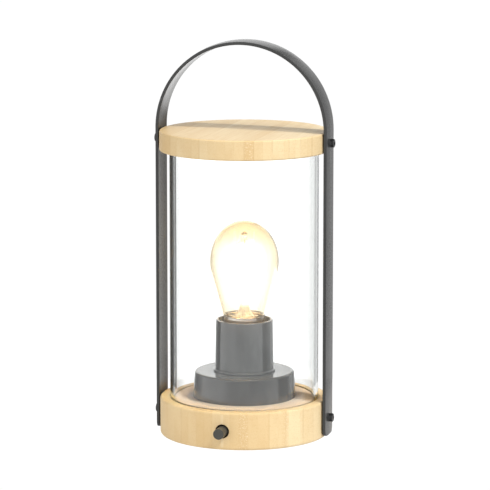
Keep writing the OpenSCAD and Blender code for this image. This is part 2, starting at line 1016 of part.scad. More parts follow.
// Rolled sheet cap of the bulb, with its plain collar round the glass
module bulb_cap() {
    outer = row_heights(cap_foot, collar_foot);
    color("silver")
    ring_mesh(concat(
        [plain_row(cap_inner_r, cap_foot)],
        [for (z = outer) cap_row(z)],
        [plain_row(collar_r, collar_top - collar_lip_h),
            plain_row(collar_r + collar_lip, collar_top - collar_lip_h / 2),
            plain_row(collar_r, collar_top),
            plain_row(cap_neck_inner_r, collar_top),
            plain_row(cap_neck_inner_r, collar_foot + cap_sheet / 2),
            plain_row(cap_inner_r, collar_foot - cap_sheet)]));
}

// Points of an arc round c, from angle a0 to a1, in equal steps
function arc_points(c, rx, ry, a0, a1, steps) =
    [for (k = [0 : steps])
        let (a = a0 + (a1 - a0) * k / steps)
        [c.x + rx * cos(a), c.y + ry * sin(a)]];

// Outline of the bulb's glass, drawn inwards by the offset, from the neck to the top
function bulb_outline(inset) = concat(
    [[neck_r - inset, neck_foot], [neck_r - inset, bulb_neck_z + inset * 0.6]],
    arc_points([shoulder_r - shoulder_round, bulb_neck_z + shoulder_round],
        shoulder_round - inset, shoulder_round - inset, -80, -flank_angle, 4),
    arc_points([bulb_r - blend_r, bulb_mid], blend_r - inset, blend_r - inset,
        -flank_angle, 0, 4),
    arc_points([0, bulb_mid], bulb_r - inset, dome_rise - inset, 6, 90, 14));

module bulb_envelope() {
    outside = bulb_outline(0);
    inside = bulb_outline(bulb_wall);
    last = len(inside) - 1;
    color("moccasin", 0.5)
    rotate_extrude()
        polygon(concat(outside, [for (k = [last : -1 : 0]) inside[k]]));
}

// Black glass that closes the cap's foot round the tip contact
module cap_insulator() {
    color("black")
    rotate_extrude()
        polygon([[0, tip_z + tip_h], [tip_r + tip_margin, tip_z + tip_h],
            [cap_inner_r - cap_sheet, cap_foot - cap_sheet],
            [cap_inner_r - cap_seal_gap, cap_foot],
            [cap_inner_r - cap_seal_gap, cap_foot + cap_seal_h], [0, cap_foot + cap_seal_h]]);
}

module tip_contact() {
    color("silver")
    translate([0, 0, tip_z])
        cylinder(h = tip_h, r1 = tip_r - tip_taper, r2 = tip_r);
}

// Glass stem: a flare sealed to the neck, a pinch, and a rod with a bead on top
module bulb_stem() {
    rim_z = stem_foot + flare_t;
    color("lightcyan", 0.6)
    difference() {
        rotate_extrude()
            union() {
                polygon(concat(
                    [[0, rim_z + 0.3], [stem_flare_r - flare_lip, stem_foot],
                        [stem_flare_r, stem_foot], [stem_flare_r, rim_z]],
                    arc_points([stem_flare_r, rim_z + flare_h], flare_h, flare_h,
                        -95, -178, 6),
                    [[stem_r, stem_foot + flare_h + rod_rise], [stem_r, stem_top],
                        [0, stem_top]]));
                intersection() {
                    translate([0, stem_top])
                        circle(r = bead_r);
                    translate([0, stem_top - bead_r])
                        square([bead_r, 2 * bead_r]);
                }
            }
        filament_wires();
    }
}

// Foot, direction and head of the filament at an angle, which leans a little outwards
function filament_foot(a) =
    [filament_ring * cos(a), filament_ring * sin(a), filament_z];
function filament_dir(a) =
    [sin(filament_lean) * cos(a), sin(filament_lean) * sin(a), cos(filament_lean)];
function filament_head(a) = filament_foot(a) + filament_len * filament_dir(a);

// A point just inside the stem's rod at angle a and height z
function stem_point(a, z) =
    [stem_hold * stem_r * cos(a), stem_hold * stem_r * sin(a), z];

module led_filaments() {
    color("orange")
    for (a = filament_angles)
        rod(filament_foot(a), filament_head(a), filament_r);
}

// Springy wires from the stem to the filaments' heads, and the lead wires at their feet
module filament_wires() {
    color("silver")
    for (a = filament_angles)
        let (dir = filament_dir(a)) {
            wire([stem_point(a, cross_z + support_rise),
                filament_head(a) + filament_pin * dir, filament_head(a)], support_r);
            wire([stem_point(a, filament_z - support_drop),
                filament_foot(a) - filament_pin * dir, filament_foot(a)], support_r);
        }
}

base_drum();
bottom_cover();
cover_screws();
foot_ring();
battery_pack();
control_board();
board_chips();
board_screws();
usb_receptacle();
usb_bezel();
push_switch();
switch_plunger();
power_button();
battery_leads();
switch_leads();
lamp_leads();
lower_gasket();
glass_cylinder();
upper_gasket();
lid_disc();
strap_handle();
strap_screws();
threaded_inserts();
lampholder_cup();
threaded_nipple();
nipple_washer();
nipple_nut();
lampholder_body();
holder_insulator();
screw_shell();
centre_contact();
terminal_screws();
bulb_envelope();
bulb_cap();
cap_insulator();
tip_contact();
bulb_stem();
filament_wires();
led_filaments();
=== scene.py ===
from math import ceil, cos, pi, radians, sin, sqrt, tan

import bmesh
import bpy
from mathutils import Matrix, Vector


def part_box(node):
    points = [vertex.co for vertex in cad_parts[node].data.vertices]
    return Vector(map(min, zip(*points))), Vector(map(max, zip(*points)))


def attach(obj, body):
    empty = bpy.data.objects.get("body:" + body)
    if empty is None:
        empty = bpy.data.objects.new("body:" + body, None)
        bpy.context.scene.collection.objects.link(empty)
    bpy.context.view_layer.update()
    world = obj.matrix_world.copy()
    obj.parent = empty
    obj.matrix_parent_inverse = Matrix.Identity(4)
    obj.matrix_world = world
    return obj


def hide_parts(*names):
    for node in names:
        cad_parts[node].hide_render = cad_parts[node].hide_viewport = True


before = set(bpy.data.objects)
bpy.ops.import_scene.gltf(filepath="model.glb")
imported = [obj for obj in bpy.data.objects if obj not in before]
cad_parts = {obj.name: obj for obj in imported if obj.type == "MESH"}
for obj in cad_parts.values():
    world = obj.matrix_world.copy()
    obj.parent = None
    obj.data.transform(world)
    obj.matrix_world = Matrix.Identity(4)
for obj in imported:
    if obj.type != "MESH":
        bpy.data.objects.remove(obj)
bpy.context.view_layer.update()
scene = bpy.context.scene

MM = 0.001

# Sizes that repeat part.scad's named values, in metres
WOOD_R = 55 * MM
CAVITY_R = 42 * MM
COVER_T = 2.2 * MM
COVER_GAP = 0.2 * MM
COVER_SCREW_RING = 44.8 * MM
COVER_SCREW_R = 1.25 * MM
GROOVE_GAP = 0.4 * MM
WOOD_TOP_ROUND = 1.5 * MM
WOOD_FOOT_ROUND = 1.8 * MM
LID_ROUND = 1.0 * MM
INSERT_R = 2.6 * MM
INSERT_HOLE_LEN = 9.2 * MM
POCKET_HALF = 8 * MM
BUTTON_Z = 13.1 * MM
BUTTON_GAP = 0.35 * MM
BUTTON_GRIP = 4.8 * MM
BUTTON_EDGE = 0.6 * MM
LEG_CORNER = 4.5 * MM
STRAP_HALF_W = 10 * MM
STRAP_HOLE_R = 1.7 * MM
SCREW_R = 1.45 * MM
SCREW_LEN = 8 * MM
SCREW_HEAD_R = 2.75 * MM
SCREW_HEAD_H = 3 * MM
SOCKET_R = 1.25 * MM
SOCKET_DEPTH = 1.6 * MM
CUP_TOP_R = 32.5 * MM
CUP_WALL = 2 * MM
CUP_ROUND = 1.6 * MM
HOLDER_FOOT_R = 19.2 * MM
HOLDER_MOUTH_R = 18.6 * MM
HOLDER_FLOOR_T = 2.8 * MM
HOLDER_LEDGE_R = 14.4 * MM
FOOT_RING_H = 1.3 * MM
NECK_R = 12.55 * MM
BULB_WALL = 0.8 * MM
SHOULDER_R = 14.3 * MM
SHOULDER_ROUND = 1.2 * MM
NECK_LEN = 3 * MM
DOME_RISE = 26.5 * MM
BLEND_R = 36 * MM
FLANK_ANGLE = radians(15.6)
THREAD_PITCH = 3.62 * MM
THREAD_WAVE = 0.5 * MM
THREAD_FADE = 1.6 * MM
CAP_MEAN_R = 12.65 * MM
CAP_PLAIN_R = 12 * MM
CAP_INNER_R = 11.6 * MM
CAP_NECK_INNER_R = 12.75 * MM
CAP_SHOULDER_H = 2 * MM
COLLAR_R = 13.2 * MM
COLLAR_H = 3.4 * MM
SHELL_MEAN_R = 12.95 * MM
SHELL_MOUTH_R = 13.7 * MM
SHELL_FLANGE_R = 11.2 * MM
SHELL_LEAD = 1 * MM
SHELL_SHEET = 0.5 * MM
FILAMENT_R = 0.9 * MM
FILAMENT_LEN = 36 * MM
FILAMENT_RING = 5.6 * MM
FILAMENT_LEAN = radians(2)
FILAMENT_ANGLES = [radians(a) for a in (20, 110, 200, 290)]

# Finer forms that only this script has
STRAP_CROWN = 0.5 * MM
STRAP_SOFT = 0.35 * MM
GROOVE_LIP = 0.35 * MM
BORE_R = 4.5 * MM
KNURLS = 24
KNURL_DEPTH = 0.11 * MM
SHANK_PITCH = 0.5 * MM
SHANK_ROOT = 0.18 * MM
BUTTON_DISH = 0.22 * MM

ROUND_SIDES = 256
FINE_SIDES = 128
SHARP = radians(32)


# Mesh helpers


def fillet(points, radii, steps):
    """A closed outline of (r, z) points with each corner rounded by its radius."""
    out = []
    count = len(points)
    for i, radius in enumerate(radii):
        here = Vector(points[i])
        if radius <= 0:
            out.append(tuple(here))
            continue
        before = (Vector(points[i - 1]) - here).normalized()
        after = (Vector(points[(i + 1) % count]) - here).normalized()
        half = before.angle(after) / 2
        reach = radius / tan(half)
        centre = here + (before + after).normalized() * (radius / sin(half))
        first = here + before * reach - centre
        turn = first.angle_signed(here + after * reach - centre)
        for k in range(steps + 1):
            spoke = Matrix.Rotation(-turn * k / steps, 2) @ first
            out.append(tuple(centre + spoke))
    return out


def polar(r, a, z=0.0):
    """The point at radius r, angle a and height z."""
    return Vector((r * cos(a), r * sin(a), z))


def turned(outline, sides):
    """Rows of points: each (r, z) of an outline turned about the Z axis."""
    rows = []
    for r, z in outline:
        count = 1 if r < 1e-7 else sides
        rows.append([polar(r, 2 * pi * k / sides, z) for k in range(count)])
    return rows


def loft(mesh, rows, closed=False, capped=True):
    """Faces between neighbouring rows of points. A row of one point is a pole. With
    closed, the last row joins the first; otherwise capped closes an open end."""
    made = [[mesh.verts.new(p) for p in row] for row in rows]
    pairs = list(zip(made, made[1:]))
    if closed:
        pairs.append((made[-1], made[0]))
    for low, high in pairs:
        sides = max(len(low), len(high))
        for k in range(sides):
            j = (k + 1) % sides
            if len(low) == 1 and len(high) == 1:
                break
            if len(low) == 1:
                mesh.faces.new((low[0], high[j], high[k]))
            elif len(high) == 1:
                mesh.faces.new((low[k], low[j], high[0]))
            else:
                mesh.faces.new((low[k], low[j], high[j], high[k]))
    if capped and not closed:
        if len(made[0]) > 1:
            mesh.faces.new(made[0][::-1])
        if len(made[-1]) > 1:
            mesh.faces.new(made[-1])
    return made


def placed(rows, matrix):
    """The rows moved by a matrix."""
    return [[matrix @ p for p in row] for row in rows]


def piece(name, mesh, material, body, replaces=(), sharp=SHARP):
    """A finished object from a bmesh, with smooth faces and sharp corners."""
    bmesh.ops.remove_doubles(mesh, verts=mesh.verts, dist=1e-8)
    bmesh.ops.recalc_face_normals(mesh, faces=mesh.faces)
    data = bpy.data.meshes.new(name)
    mesh.to_mesh(data)
    mesh.free()
    data.materials.append(material)
    made = bpy.data.objects.new(name, data)
    scene.collection.objects.link(made)
    smooth(made, sharp)
    if body:
        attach(made, body)
        if replaces:
            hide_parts(*replaces)
    return made


def settle(made, modifier):
    """Makes the mesh what its modifier shows, and takes the modifier away."""
    bpy.context.view_layer.update()
    graph = bpy.context.evaluated_depsgraph_get()
    result = bpy.data.meshes.new_from_object(made.evaluated_get(graph))
    made.modifiers.remove(modifier)
    old = made.data
    name = old.name
    made.data = result
    bpy.data.meshes.remove(old)
    result.name = name


def smooth(made, sharp):
    """Smooth shading that leaves large faces flat and corners sharp."""
    data = made.data
    data.polygons.foreach_set("use_smooth", [True] * len(data.polygons))
    data.set_sharp_from_angle(angle=sharp)
    modifier = made.modifiers.new("normals", "WEIGHTED_NORMAL")
    modifier.keep_sharp = True
    modifier.weight = 100
    settle(made, modifier)


def cut(made, cutter_mesh, sharp=SHARP):
    """Takes the solids of a bmesh out of an object."""
    cutter = piece(made.name + "_cutter", cutter_mesh, made.data.materials[0], None)
    modifier = made.modifiers.new("holes", "BOOLEAN")
    modifier.operation = "DIFFERENCE"
    modifier.solver = "EXACT"
    modifier.object = cutter
    settle(made, modifier)
    smooth(made, sharp)
    bpy.data.objects.remove(cutter)


def along(direction, at=(0, 0, 0)):
    """A matrix that turns +Z to a direction and moves to a place."""
    turn = Vector(direction).to_track_quat("Z", "Y").to_matrix().to_4x4()
    return Matrix.Translation(Vector(at)) @ turn


def turned_at(mesh, outline, sides, matrix=Matrix(), closed=False):
    """A lathe form in a bmesh, placed by a matrix."""
    loft(mesh, placed(turned(outline, sides), matrix), closed)


def drill(mesh, radius, reach, sides, matrix):
    """A plain round cutter along the matrix's Z axis."""
    turned_at(mesh, [(0, 0), (radius, 0), (radius, reach), (0, reach)], sides, matrix)


def turned_piece(name, outline, rounds, steps, material, node, closed=True):
    """A lathe form with rounded corners, in the place of one of the lamp's nodes."""
    mesh = bmesh.new()
    turned_at(mesh, fillet(outline, rounds, steps), ROUND_SIDES, closed=closed)
    return piece(name, mesh, material, "lamp", [node])


# Node helpers


class Nodes:
    """A node tree, with short calls for the nodes that it needs."""

    def __init__(self, tree, output, coordinates):
        self.tree = tree
        self.tree.nodes.clear()
        self.output = self.add(output)
        self.place = self.add("ShaderNodeTexCoord").outputs[coordinates]

    def add(self, kind, inputs=None, **settings):
        node = self.tree.nodes.new(kind)
        for name, value in settings.items():
            setattr(node, name, value)
        for name, value in (inputs or {}).items():
            self.feed(node.inputs[name], value)
        return node

    def feed(self, socket, value):
        if isinstance(value, bpy.types.NodeSocket):
            self.tree.links.new(value, socket)
        else:
            socket.default_value = value

    def scaled(self, scale, shift=(0, 0, 0)):
        node = self.add("ShaderNodeMapping", {"Vector": self.place, "Scale": scale,
                                              "Location": shift})
        return node.outputs[0]

    def noise(self, scale, detail=3.0, rough=0.55, warp=0.0, shift=(0, 0, 0)):
        """Soft noise, with scale as repeats per metre along x, y and z."""
        node = self.add("ShaderNodeTexNoise", {
            "Vector": self.scaled(scale, shift), "Scale": 1.0, "Detail": detail,
            "Roughness": rough, "Distortion": warp})
        return node.outputs["Fac"]

    def spots(self, scale):
        """Distance to the nearest of many scattered points."""
        node = self.add("ShaderNodeTexVoronoi", {"Vector": self.scaled(scale), "Scale": 1.0})
        return node.outputs["Distance"]

    def math(self, kind, a, b=0.0):
        node = self.add("ShaderNodeMath", operation=kind)
        self.feed(node.inputs[0], a)
        self.feed(node.inputs[1], b)
        return node.outputs[0]

    def sum(self, a, b):
        return self.math("ADD", a, b)

    def minus(self, a, b):
        return self.math("SUBTRACT", a, b)

    def times(self, a, b):
        return self.math("MULTIPLY", a, b)

    def vector(self, kind, a, b):
        node = self.add("ShaderNodeVectorMath", {0: a, 1: b}, operation=kind)
        return node.outputs[0]

    def reach(self, centre, kept):
        """Distance from a centre, over the axes that are kept."""
        away = self.vector("MULTIPLY", self.vector("SUBTRACT", self.place, centre), kept)
        node = self.add("ShaderNodeVectorMath", {0: away}, operation="LENGTH")
        return node.outputs["Value"]

    def range(self, value, low, high, to_low=0.0, to_high=1.0, smooth=True):
        """A value between low and high, as a share of the way between two others."""
        kind = "SMOOTHSTEP" if smooth else "LINEAR"
        node = self.add("ShaderNodeMapRange", {
            "Value": value, "From Min": low, "From Max": high, "To Min": to_low,
            "To Max": to_high}, interpolation_type=kind, clamp=True)
        return node.outputs[0]

    def fade(self, value, low, high):
        """1 below low, 0 above high."""
        return self.range(value, low, high, 1.0, 0.0)

    def mix(self, share, a, b):
        node = self.add("ShaderNodeMix", data_type="RGBA")
        self.feed(node.inputs[0], share)
        self.feed(node.inputs[6], rgba(a))
        self.feed(node.inputs[7], rgba(b))
        return node.outputs[2]

    def axis(self, name):
        node = self.add("ShaderNodeSeparateXYZ", {0: self.place})
        return node.outputs[name]

    def steps(self, value, places, levels):
        """A level for each stretch of a value that runs from 0 to 1."""
        node = self.add("ShaderNodeValToRGB", {"Fac": value})
        ramp = node.color_ramp
        ramp.interpolation = "CONSTANT"
        for place, level in list(zip(places, levels))[1:]:
            ramp.elements.new(place).color = (level, level, level, 1)
        ramp.elements[0].color = (levels[0],) * 3 + (1,)
        ramp.elements.remove(ramp.elements[-1])
        return node.outputs["Color"]

    def bump(self, height, depth, strength=1.0):
        inputs = {"Height": height, "Distance": depth, "Strength": strength}
        return self.add("ShaderNodeBump", inputs).outputs[0]

    def unbounced(self):
        """1 for rays straight from the camera, or through glass alone."""
        path = self.add("ShaderNodeLightPath")
        bounced = self.sum(path.outputs["Diffuse Depth"], path.outputs["Glossy Depth"])
        return self.math("LESS_THAN", bounced, 0.5)

    def edges(self):
        """1 along sharp edges, from the curvature of the mesh."""
        node = self.add("ShaderNodeNewGeometry")
        return self.range(node.outputs["Pointiness"], 0.52, 0.6)


class Finish(Nodes):
    """One material."""

    def __init__(self, name):
        self.material = bpy.data.materials.new(name)
        self.material.use_nodes = True
        super().__init__(self.material.node_tree, "ShaderNodeOutputMaterial", "Object")

    def surface(self, **inputs):
        """The main shader. Base_Color stands for the socket Base Color, and so on."""
        named = {key.replace("_", " "): value for key, value in inputs.items()}
        shader = self.add("ShaderNodeBsdfPrincipled", named)
        self.tree.links.new(shader.outputs[0], self.output.inputs["Surface"])
        return shader


def rgba(colour):
    """A colour as four numbers, or a socket as it is."""
    if isinstance(colour, bpy.types.NodeSocket):
        return colour
    return (*colour[:3], 1.0)


def srgb(red, green, blue):
    """A colour given as 0 to 255 values, as linear light."""
    return tuple(
        v / 12.92 if v <= 0.04045 else ((v + 0.055) / 1.055) ** 2.4
        for v in (red / 255, green / 255, blue / 255)
    )


# Materials

STRIP_W = 5.8 * MM
WOOD_LIGHT = srgb(244, 230, 198)
WOOD_PALE = srgb(232, 212, 171)
WOOD_WARM = srgb(215, 184, 133)
WOOD_TAN = srgb(206, 170, 116)
WOOD_DARK = srgb(190, 146, 90)
WOOD_JOINT = srgb(168, 120, 68)
WOOD_PAINTED_LIT = srgb(252, 230, 212)
WOOD_BORE_SHADE = srgb(46, 30, 14)
FILAMENT_GLOW = 14.0


def strip_lines(f, x, joints):
    """The joints' darkness, each regular strip's own random value, and the share of
    the way across that strip."""
    nearest = f.math("ABSOLUTE", f.minus(x, joints[0]))
    for place in joints[1:]:
        away = f.math("ABSOLUTE", f.minus(x, place))
        nearest = f.math("MINIMUM", nearest, away)
    strip = f.math("DIVIDE", f.minus(x, joints[0]), STRIP_W)
    number = f.math("FLOOR", strip)
    across = f.minus(strip, number)
    own = f.add("ShaderNodeTexWhiteNoise", {"W": number}, noise_dimensions="1D")
    own = own.outputs["Value"]
    edge = f.math("MINIMUM", across, f.minus(1.0, across))
    faint = f.times(f.fade(edge, 0.008, 0.035), f.range(own, 0.3, 1.0, 0.0, 0.55))
    joint = f.math("MAXIMUM", f.fade(nearest, 0.08 * MM, 0.26 * MM), faint)
    broken = f.range(f.noise((60, 30, 90), 2.0, shift=(7, 3, 1)), 0.35, 0.6, 0.35, 1.0)
    return f.times(joint, broken), own, across


def knuckle_bands(f, x, y, own, knuckle):
    """The knuckle in view, and one at a random depth in each regular strip."""
    start, end, front = knuckle
    edge = 0.3 * MM
    in_strip = f.times(f.range(x, start, start + edge), f.fade(x, end - edge, end))
    wave = f.times(f.minus(f.noise((500, 0, 300), 2.0), 0.5), 5 * MM)
    depth = f.math("ABSOLUTE", f.minus(f.sum(y, wave), front))
    band = f.times(f.fade(depth, 1.0 * MM, 4.5 * MM), in_strip)
    other = f.minus(y, f.range(own, 0.0, 1.0, -0.16, 0.16, False))
    other = f.math("ABSOLUTE", f.sum(other, wave))
    return f.math("MAXIMUM", band, f.range(other, 0.6 * MM, 2.6 * MM, 0.8, 0.0))


def bamboo(name, joints, tones, knuckle, top, inside=None):
    """Laminated bamboo: upright strips that run front to back, each with its own tone,
    fine fibres, a joint line and now and then a knuckle. joints are the places along X
    that show most, tones a shade for each strip between them, and knuckle the strip and
    the depth (x0, x1, y) of a knuckle in view. top is the height of the sanded upper
    face, where joints show less, and inside the radius of its middle, which is painted
    paler and pinker as painted light. The sharp edges are painted paler, as edge wear and
    a painted highlight, and the wall of the button's bore is painted near black as painted
    shade."""
    f = Finish(name)
    x, y, z = f.axis("X"), f.axis("Y"), f.axis("Z")
    tone = f.steps(f.range(x, -WOOD_R, WOOD_R, 0.0, 1.0, False),
                   [0.0] + [(j + WOOD_R) / (2 * WOOD_R) for j in joints], tones)
    joint, own, across = strip_lines(f, x, joints)

    slide = f.times(own, 3.0)
    moved = f.add("ShaderNodeCombineXYZ", {"X": slide, "Y": slide, "Z": 0.0}).outputs[0]
    plain, f.place = f.place, f.vector("ADD", f.place, moved)
    broad = f.noise((90, 9, 60), 2.0)
    fibre = f.noise((2400, 26, 1500), 4.0, 0.65, 0.15)
    fine = f.noise((5200, 60, 3600), 2.0, 0.6)
    bundle = f.spots((1500, 20, 1300))
    f.place = plain
    cloud = f.noise((28, 22, 28), 2.0)
    streak = f.noise((130, 90, 2600), 3.0, 0.6)
    dots = f.times(f.fade(bundle, 0.10, 0.34), f.range(across, 0.1, 0.95))
    band = knuckle_bands(f, x, y, own, knuckle)
    speck = f.range(f.noise((1700, 1700, 1700), 2.0, 0.7), 0.52, 0.66)

    layers = [
        (f.range(broad, 0.35, 0.75, 0.0, 0.3), WOOD_TAN),
        (f.range(cloud, 0.3, 0.7, 0.0, 0.2), WOOD_PALE),
        (f.range(fibre, 0.45, 0.75, 0.0, 0.4), WOOD_TAN),
        (f.range(streak, 0.52, 0.78, 0.0, 0.28), WOOD_TAN),
        (f.range(fine, 0.5, 0.8, 0.0, 0.25), WOOD_LIGHT),
        (f.times(dots, 0.4), WOOD_DARK),
        (f.times(band, 0.4), WOOD_TAN),
        (f.times(f.times(band, speck), 0.55), WOOD_LIGHT),
    ]
    if inside:
        # Painted light: the top inside the glass is painted paler and pinker, as if more
        # light fell there.
        radius = f.reach((0, 0, 0), (1, 1, 0))
        lit_middle = f.times(f.fade(radius, inside, inside + MM), f.range(z, 24 * MM, 25 * MM))
        layers.append((f.times(lit_middle, 0.8), WOOD_PAINTED_LIT))
    sanded = f.range(z, top - 0.6 * MM, top - 0.1 * MM, 0.3, 0.08)
    # Painted shade: the wall of the button's bore is painted near black, where shade falls in
    # the recess.
    bore = f.reach((0, 0, BUTTON_Z), (1, 0, 1))
    bore_shade = f.times(f.range(bore, BORE_R + 0.02 * MM, BORE_R + 0.12 * MM, 0.95, 0.0),
                    f.fade(y, -50 * MM, -45 * MM))
    layers += [
        (f.times(joint, sanded), WOOD_JOINT),
        # Edge wear and a painted highlight: the wood's sharp edges are painted paler.
        (f.times(f.edges(), 0.25), WOOD_LIGHT),
        (bore_shade, WOOD_BORE_SHADE),
    ]
    shade = f.sum(f.times(tone, 0.75), f.times(own, 0.3))
    colour = f.mix(shade, WOOD_PALE, WOOD_WARM)
    for share, tint in layers:
        colour = f.mix(share, colour, tint)

    rough = f.sum(f.range(fibre, 0.3, 0.8, 0.42, 0.56), f.times(joint, 0.12))
    height = f.minus(f.times(fibre, 0.6), f.times(joint, 0.8))
    height = f.minus(height, f.times(dots, 0.4))
    f.surface(Base_Color=colour, Roughness=rough, IOR=1.35,
              Normal=f.bump(height, 0.06 * MM, 0.7))
    return f.material


def moulded(name, colour, rough, grain=0.25, depth=0.01, coat=0.0, ior=1.5):
    """Moulded or painted surface: faint flow marks, a fine texture and softened edges.
    grain is the texture's size in millimetres and depth its height."""
    f = Finish(name)
    scale = 1 / (grain * MM)
    texture = f.noise((scale,) * 3, 3.0, 0.6)
    flow = f.noise((60, 60, 35), 3.0, 0.5, 0.4)
    dust = f.range(f.noise((900, 900, 900), 4.0, 0.75), 0.62, 0.8)
    paler = tuple(min(1.0, v * 1.18 + 0.006) for v in colour)
    darker = tuple(v * 0.86 for v in colour)
    shade = f.mix(f.range(flow, 0.3, 0.7), darker, paler)
    shade = f.mix(f.times(dust, 0.12), shade, tuple(v * 0.6 + 0.2 for v in colour))
    pale_tone = tuple(min(1.0, v * 1.5 + 0.02) for v in colour)
    shade = f.mix(f.times(f.edges(), 0.35), shade, pale_tone)
    roughness = f.sum(f.range(flow, 0.25, 0.75, rough * 0.85, rough * 1.15),
                      f.times(dust, 0.08))
    f.surface(Base_Color=shade, Roughness=roughness, IOR=ior, Coat_Weight=coat,
              Coat_Roughness=0.06, Normal=f.bump(texture, depth * MM, 0.6))
    return f.material


def metal(name, colour, rough, stretch=(1, 1, 1), tint=None, pale_tone=None):
    """Metal with fine drawing lines along one axis, stains and polished edges, which on the
    black screw heads are also a painted rim highlight.
    """
    f = Finish(name)
    lines = f.noise(tuple(2600 * s for s in stretch), 4.0, 0.65)
    stain = f.noise((150, 150, 150), 4.0, 0.6, 0.3)
    tint = tint or tuple(v * 0.72 for v in colour)
    pale_tone = pale_tone or tuple(min(1.0, v * 1.25 + 0.03) for v in colour)
    shade = f.mix(f.range(stain, 0.35, 0.75, 0.0, 0.8), colour, tint)
    shade = f.mix(f.range(lines, 0.3, 0.8, 0.0, 0.3), shade, pale_tone)
    shade = f.mix(f.times(f.edges(), 0.5), shade, pale_tone)
    roughness = f.sum(f.range(lines, 0.3, 0.7, rough * 0.8, rough * 1.2),
                      f.range(stain, 0.5, 0.8, 0.0, 0.1))
    f.surface(Base_Color=shade, Metallic=1.0, Roughness=roughness,
              Normal=f.bump(lines, 0.004 * MM, 0.6))
    return f.material


def powder_coat(name):
    """Satin anthracite coating with a fine pebbled texture and paler edges."""
    f = Finish(name)
    pebble = f.noise((4200,) * 3, 2.0, 0.5)
    broad = f.noise((45, 45, 18), 3.0, 0.5)
    sparkle = f.fade(f.spots((5200,) * 3), 0.04, 0.12)
    shade = f.mix(f.range(broad, 0.3, 0.7), (0.02, 0.0203, 0.02), (0.028, 0.0283, 0.0278))
    shade = f.mix(f.times(sparkle, 0.35), shade, (0.14, 0.14, 0.137))
    shade = f.mix(f.times(f.edges(), 0.4), shade, (0.12, 0.12, 0.117))
    roughness = f.range(pebble, 0.3, 0.7, 0.25, 0.33)
    f.surface(Base_Color=shade, Metallic=0.1, Roughness=roughness, IOR=1.55,
              Normal=f.bump(pebble, 0.012 * MM, 0.6))
    return f.material


def glass(name, absorb_colour, absorb, shadow=(0.97, 0.98, 0.97), crown=None):
    """Clear glass that lets lamps through: a film of dust that shows in the roughness
    and the relief, and its own colour in the depth of the wall. crown is a stronger
    stain near the top: the heights where it starts and is full, and its colour."""
    f = Finish(name)
    film = f.noise((700, 700, 260), 4.0, 0.7)
    tint = f.mix(f.range(film, 0.55, 0.85, 0.0, 1.0), (1.0, 1.0, 1.0), (0.965, 0.97, 0.965))
    if crown:
        start, full, stain = crown
        tint = f.mix(f.range(f.axis("Z"), start, full), tint, stain)
    shader = f.surface(Base_Color=tint, Roughness=f.range(film, 0.6, 0.9, 0.0, 0.035),
                       IOR=1.45, Transmission_Weight=1.0,
                       Normal=f.bump(film, 0.0005 * MM, 0.3))
    through = f.add("ShaderNodeBsdfTransparent", {"Color": rgba(shadow)})
    path = f.add("ShaderNodeLightPath")
    blend = f.add("ShaderNodeMixShader")
    f.feed(blend.inputs[0], path.outputs["Is Shadow Ray"])
    f.feed(blend.inputs[1], shader.outputs[0])
    f.feed(blend.inputs[2], through.outputs[0])
    f.feed(f.output.inputs["Surface"], blend.outputs[0])
    depth = f.add("ShaderNodeVolumeAbsorption", {"Color": rgba(absorb_colour),
                                                 "Density": absorb})
    f.feed(f.output.inputs["Volume"], depth.outputs[0])
    return f.material


def milk_glass(name):
    """Lead glass of the stem: cloudy where it was fused, with fine bubbles."""
    f = Finish(name)
    cloud = f.noise((300, 300, 200), 3.0, 0.5)
    bubbles = f.fade(f.spots((1600, 1600, 900)), 0.1, 0.25)
    shade = f.mix(f.range(cloud, 0.3, 0.7), srgb(250, 244, 228), srgb(255, 251, 240))
    rough = f.range(cloud, 0.3, 0.7, 0.2, 0.4)
    f.surface(Base_Color=shade, Roughness=rough, IOR=1.5, Transmission_Weight=0.55,
              Normal=f.bump(f.sum(cloud, bubbles), 0.02 * MM, 0.4))
    return f.material


def phosphor(name):
    """Lit filament: a yellow phosphor coat whose chips glow a little brighter."""
    f = Finish(name)
    chips = f.noise((900, 900, 900), 2.0, 0.5)
    beads = f.fade(f.spots((1100, 1100, 620)), 0.1, 0.5)
    coat = f.mix(f.range(chips, 0.3, 0.7), srgb(255, 196, 92), srgb(255, 214, 120))
    warm = f.mix(beads, srgb(255, 198, 120), srgb(255, 232, 178))
    f.surface(Base_Color=coat, Roughness=0.5, Emission_Color=warm,
              Emission_Strength=FILAMENT_GLOW, Normal=f.bump(chips, 0.05 * MM, 0.5))
    return f.material


def foil(name):
    """Crinkled aluminium pouch of the battery."""
    f = Finish(name)
    crease = f.noise((160, 160, 160), 5.0, 0.6, 0.6)
    fine = f.noise((1600, 1600, 1600), 2.0)
    shade = f.mix(f.range(crease, 0.3, 0.7), srgb(176, 182, 190), srgb(206, 211, 216))
    rough = f.sum(f.range(crease, 0.3, 0.7, 0.22, 0.36), f.times(fine, 0.06))
    f.surface(Base_Color=shade, Metallic=0.9, Roughness=rough,
              Normal=f.bump(crease, 0.4 * MM, 0.5))
    return f.material


def circuit(name):
    """Green lacquered board: traces under the lacquer, a weave and bare pads."""
    f = Finish(name)
    trace = f.add("ShaderNodeTexVoronoi", {"Vector": f.scaled((420, 420, 0)), "Scale": 1.0},
                  feature="DISTANCE_TO_EDGE", distance="EUCLIDEAN").outputs["Distance"]
    lines = f.fade(trace, 0.05, 0.09)
    weave = f.noise((2500, 2500, 2500), 2.0)
    pads = f.fade(f.spots((260, 260, 0)), 0.09, 0.12)
    shade = f.mix(f.range(weave, 0.3, 0.7), srgb(16, 76, 44), srgb(24, 92, 54))
    shade = f.mix(f.times(lines, 0.5), shade, srgb(52, 128, 70))
    shade = f.mix(pads, shade, srgb(212, 178, 98))
    f.surface(Base_Color=shade, Roughness=f.range(weave, 0.3, 0.7, 0.28, 0.4),
              Normal=f.bump(f.sum(lines, weave), 0.03 * MM, 0.5))
    return f.material


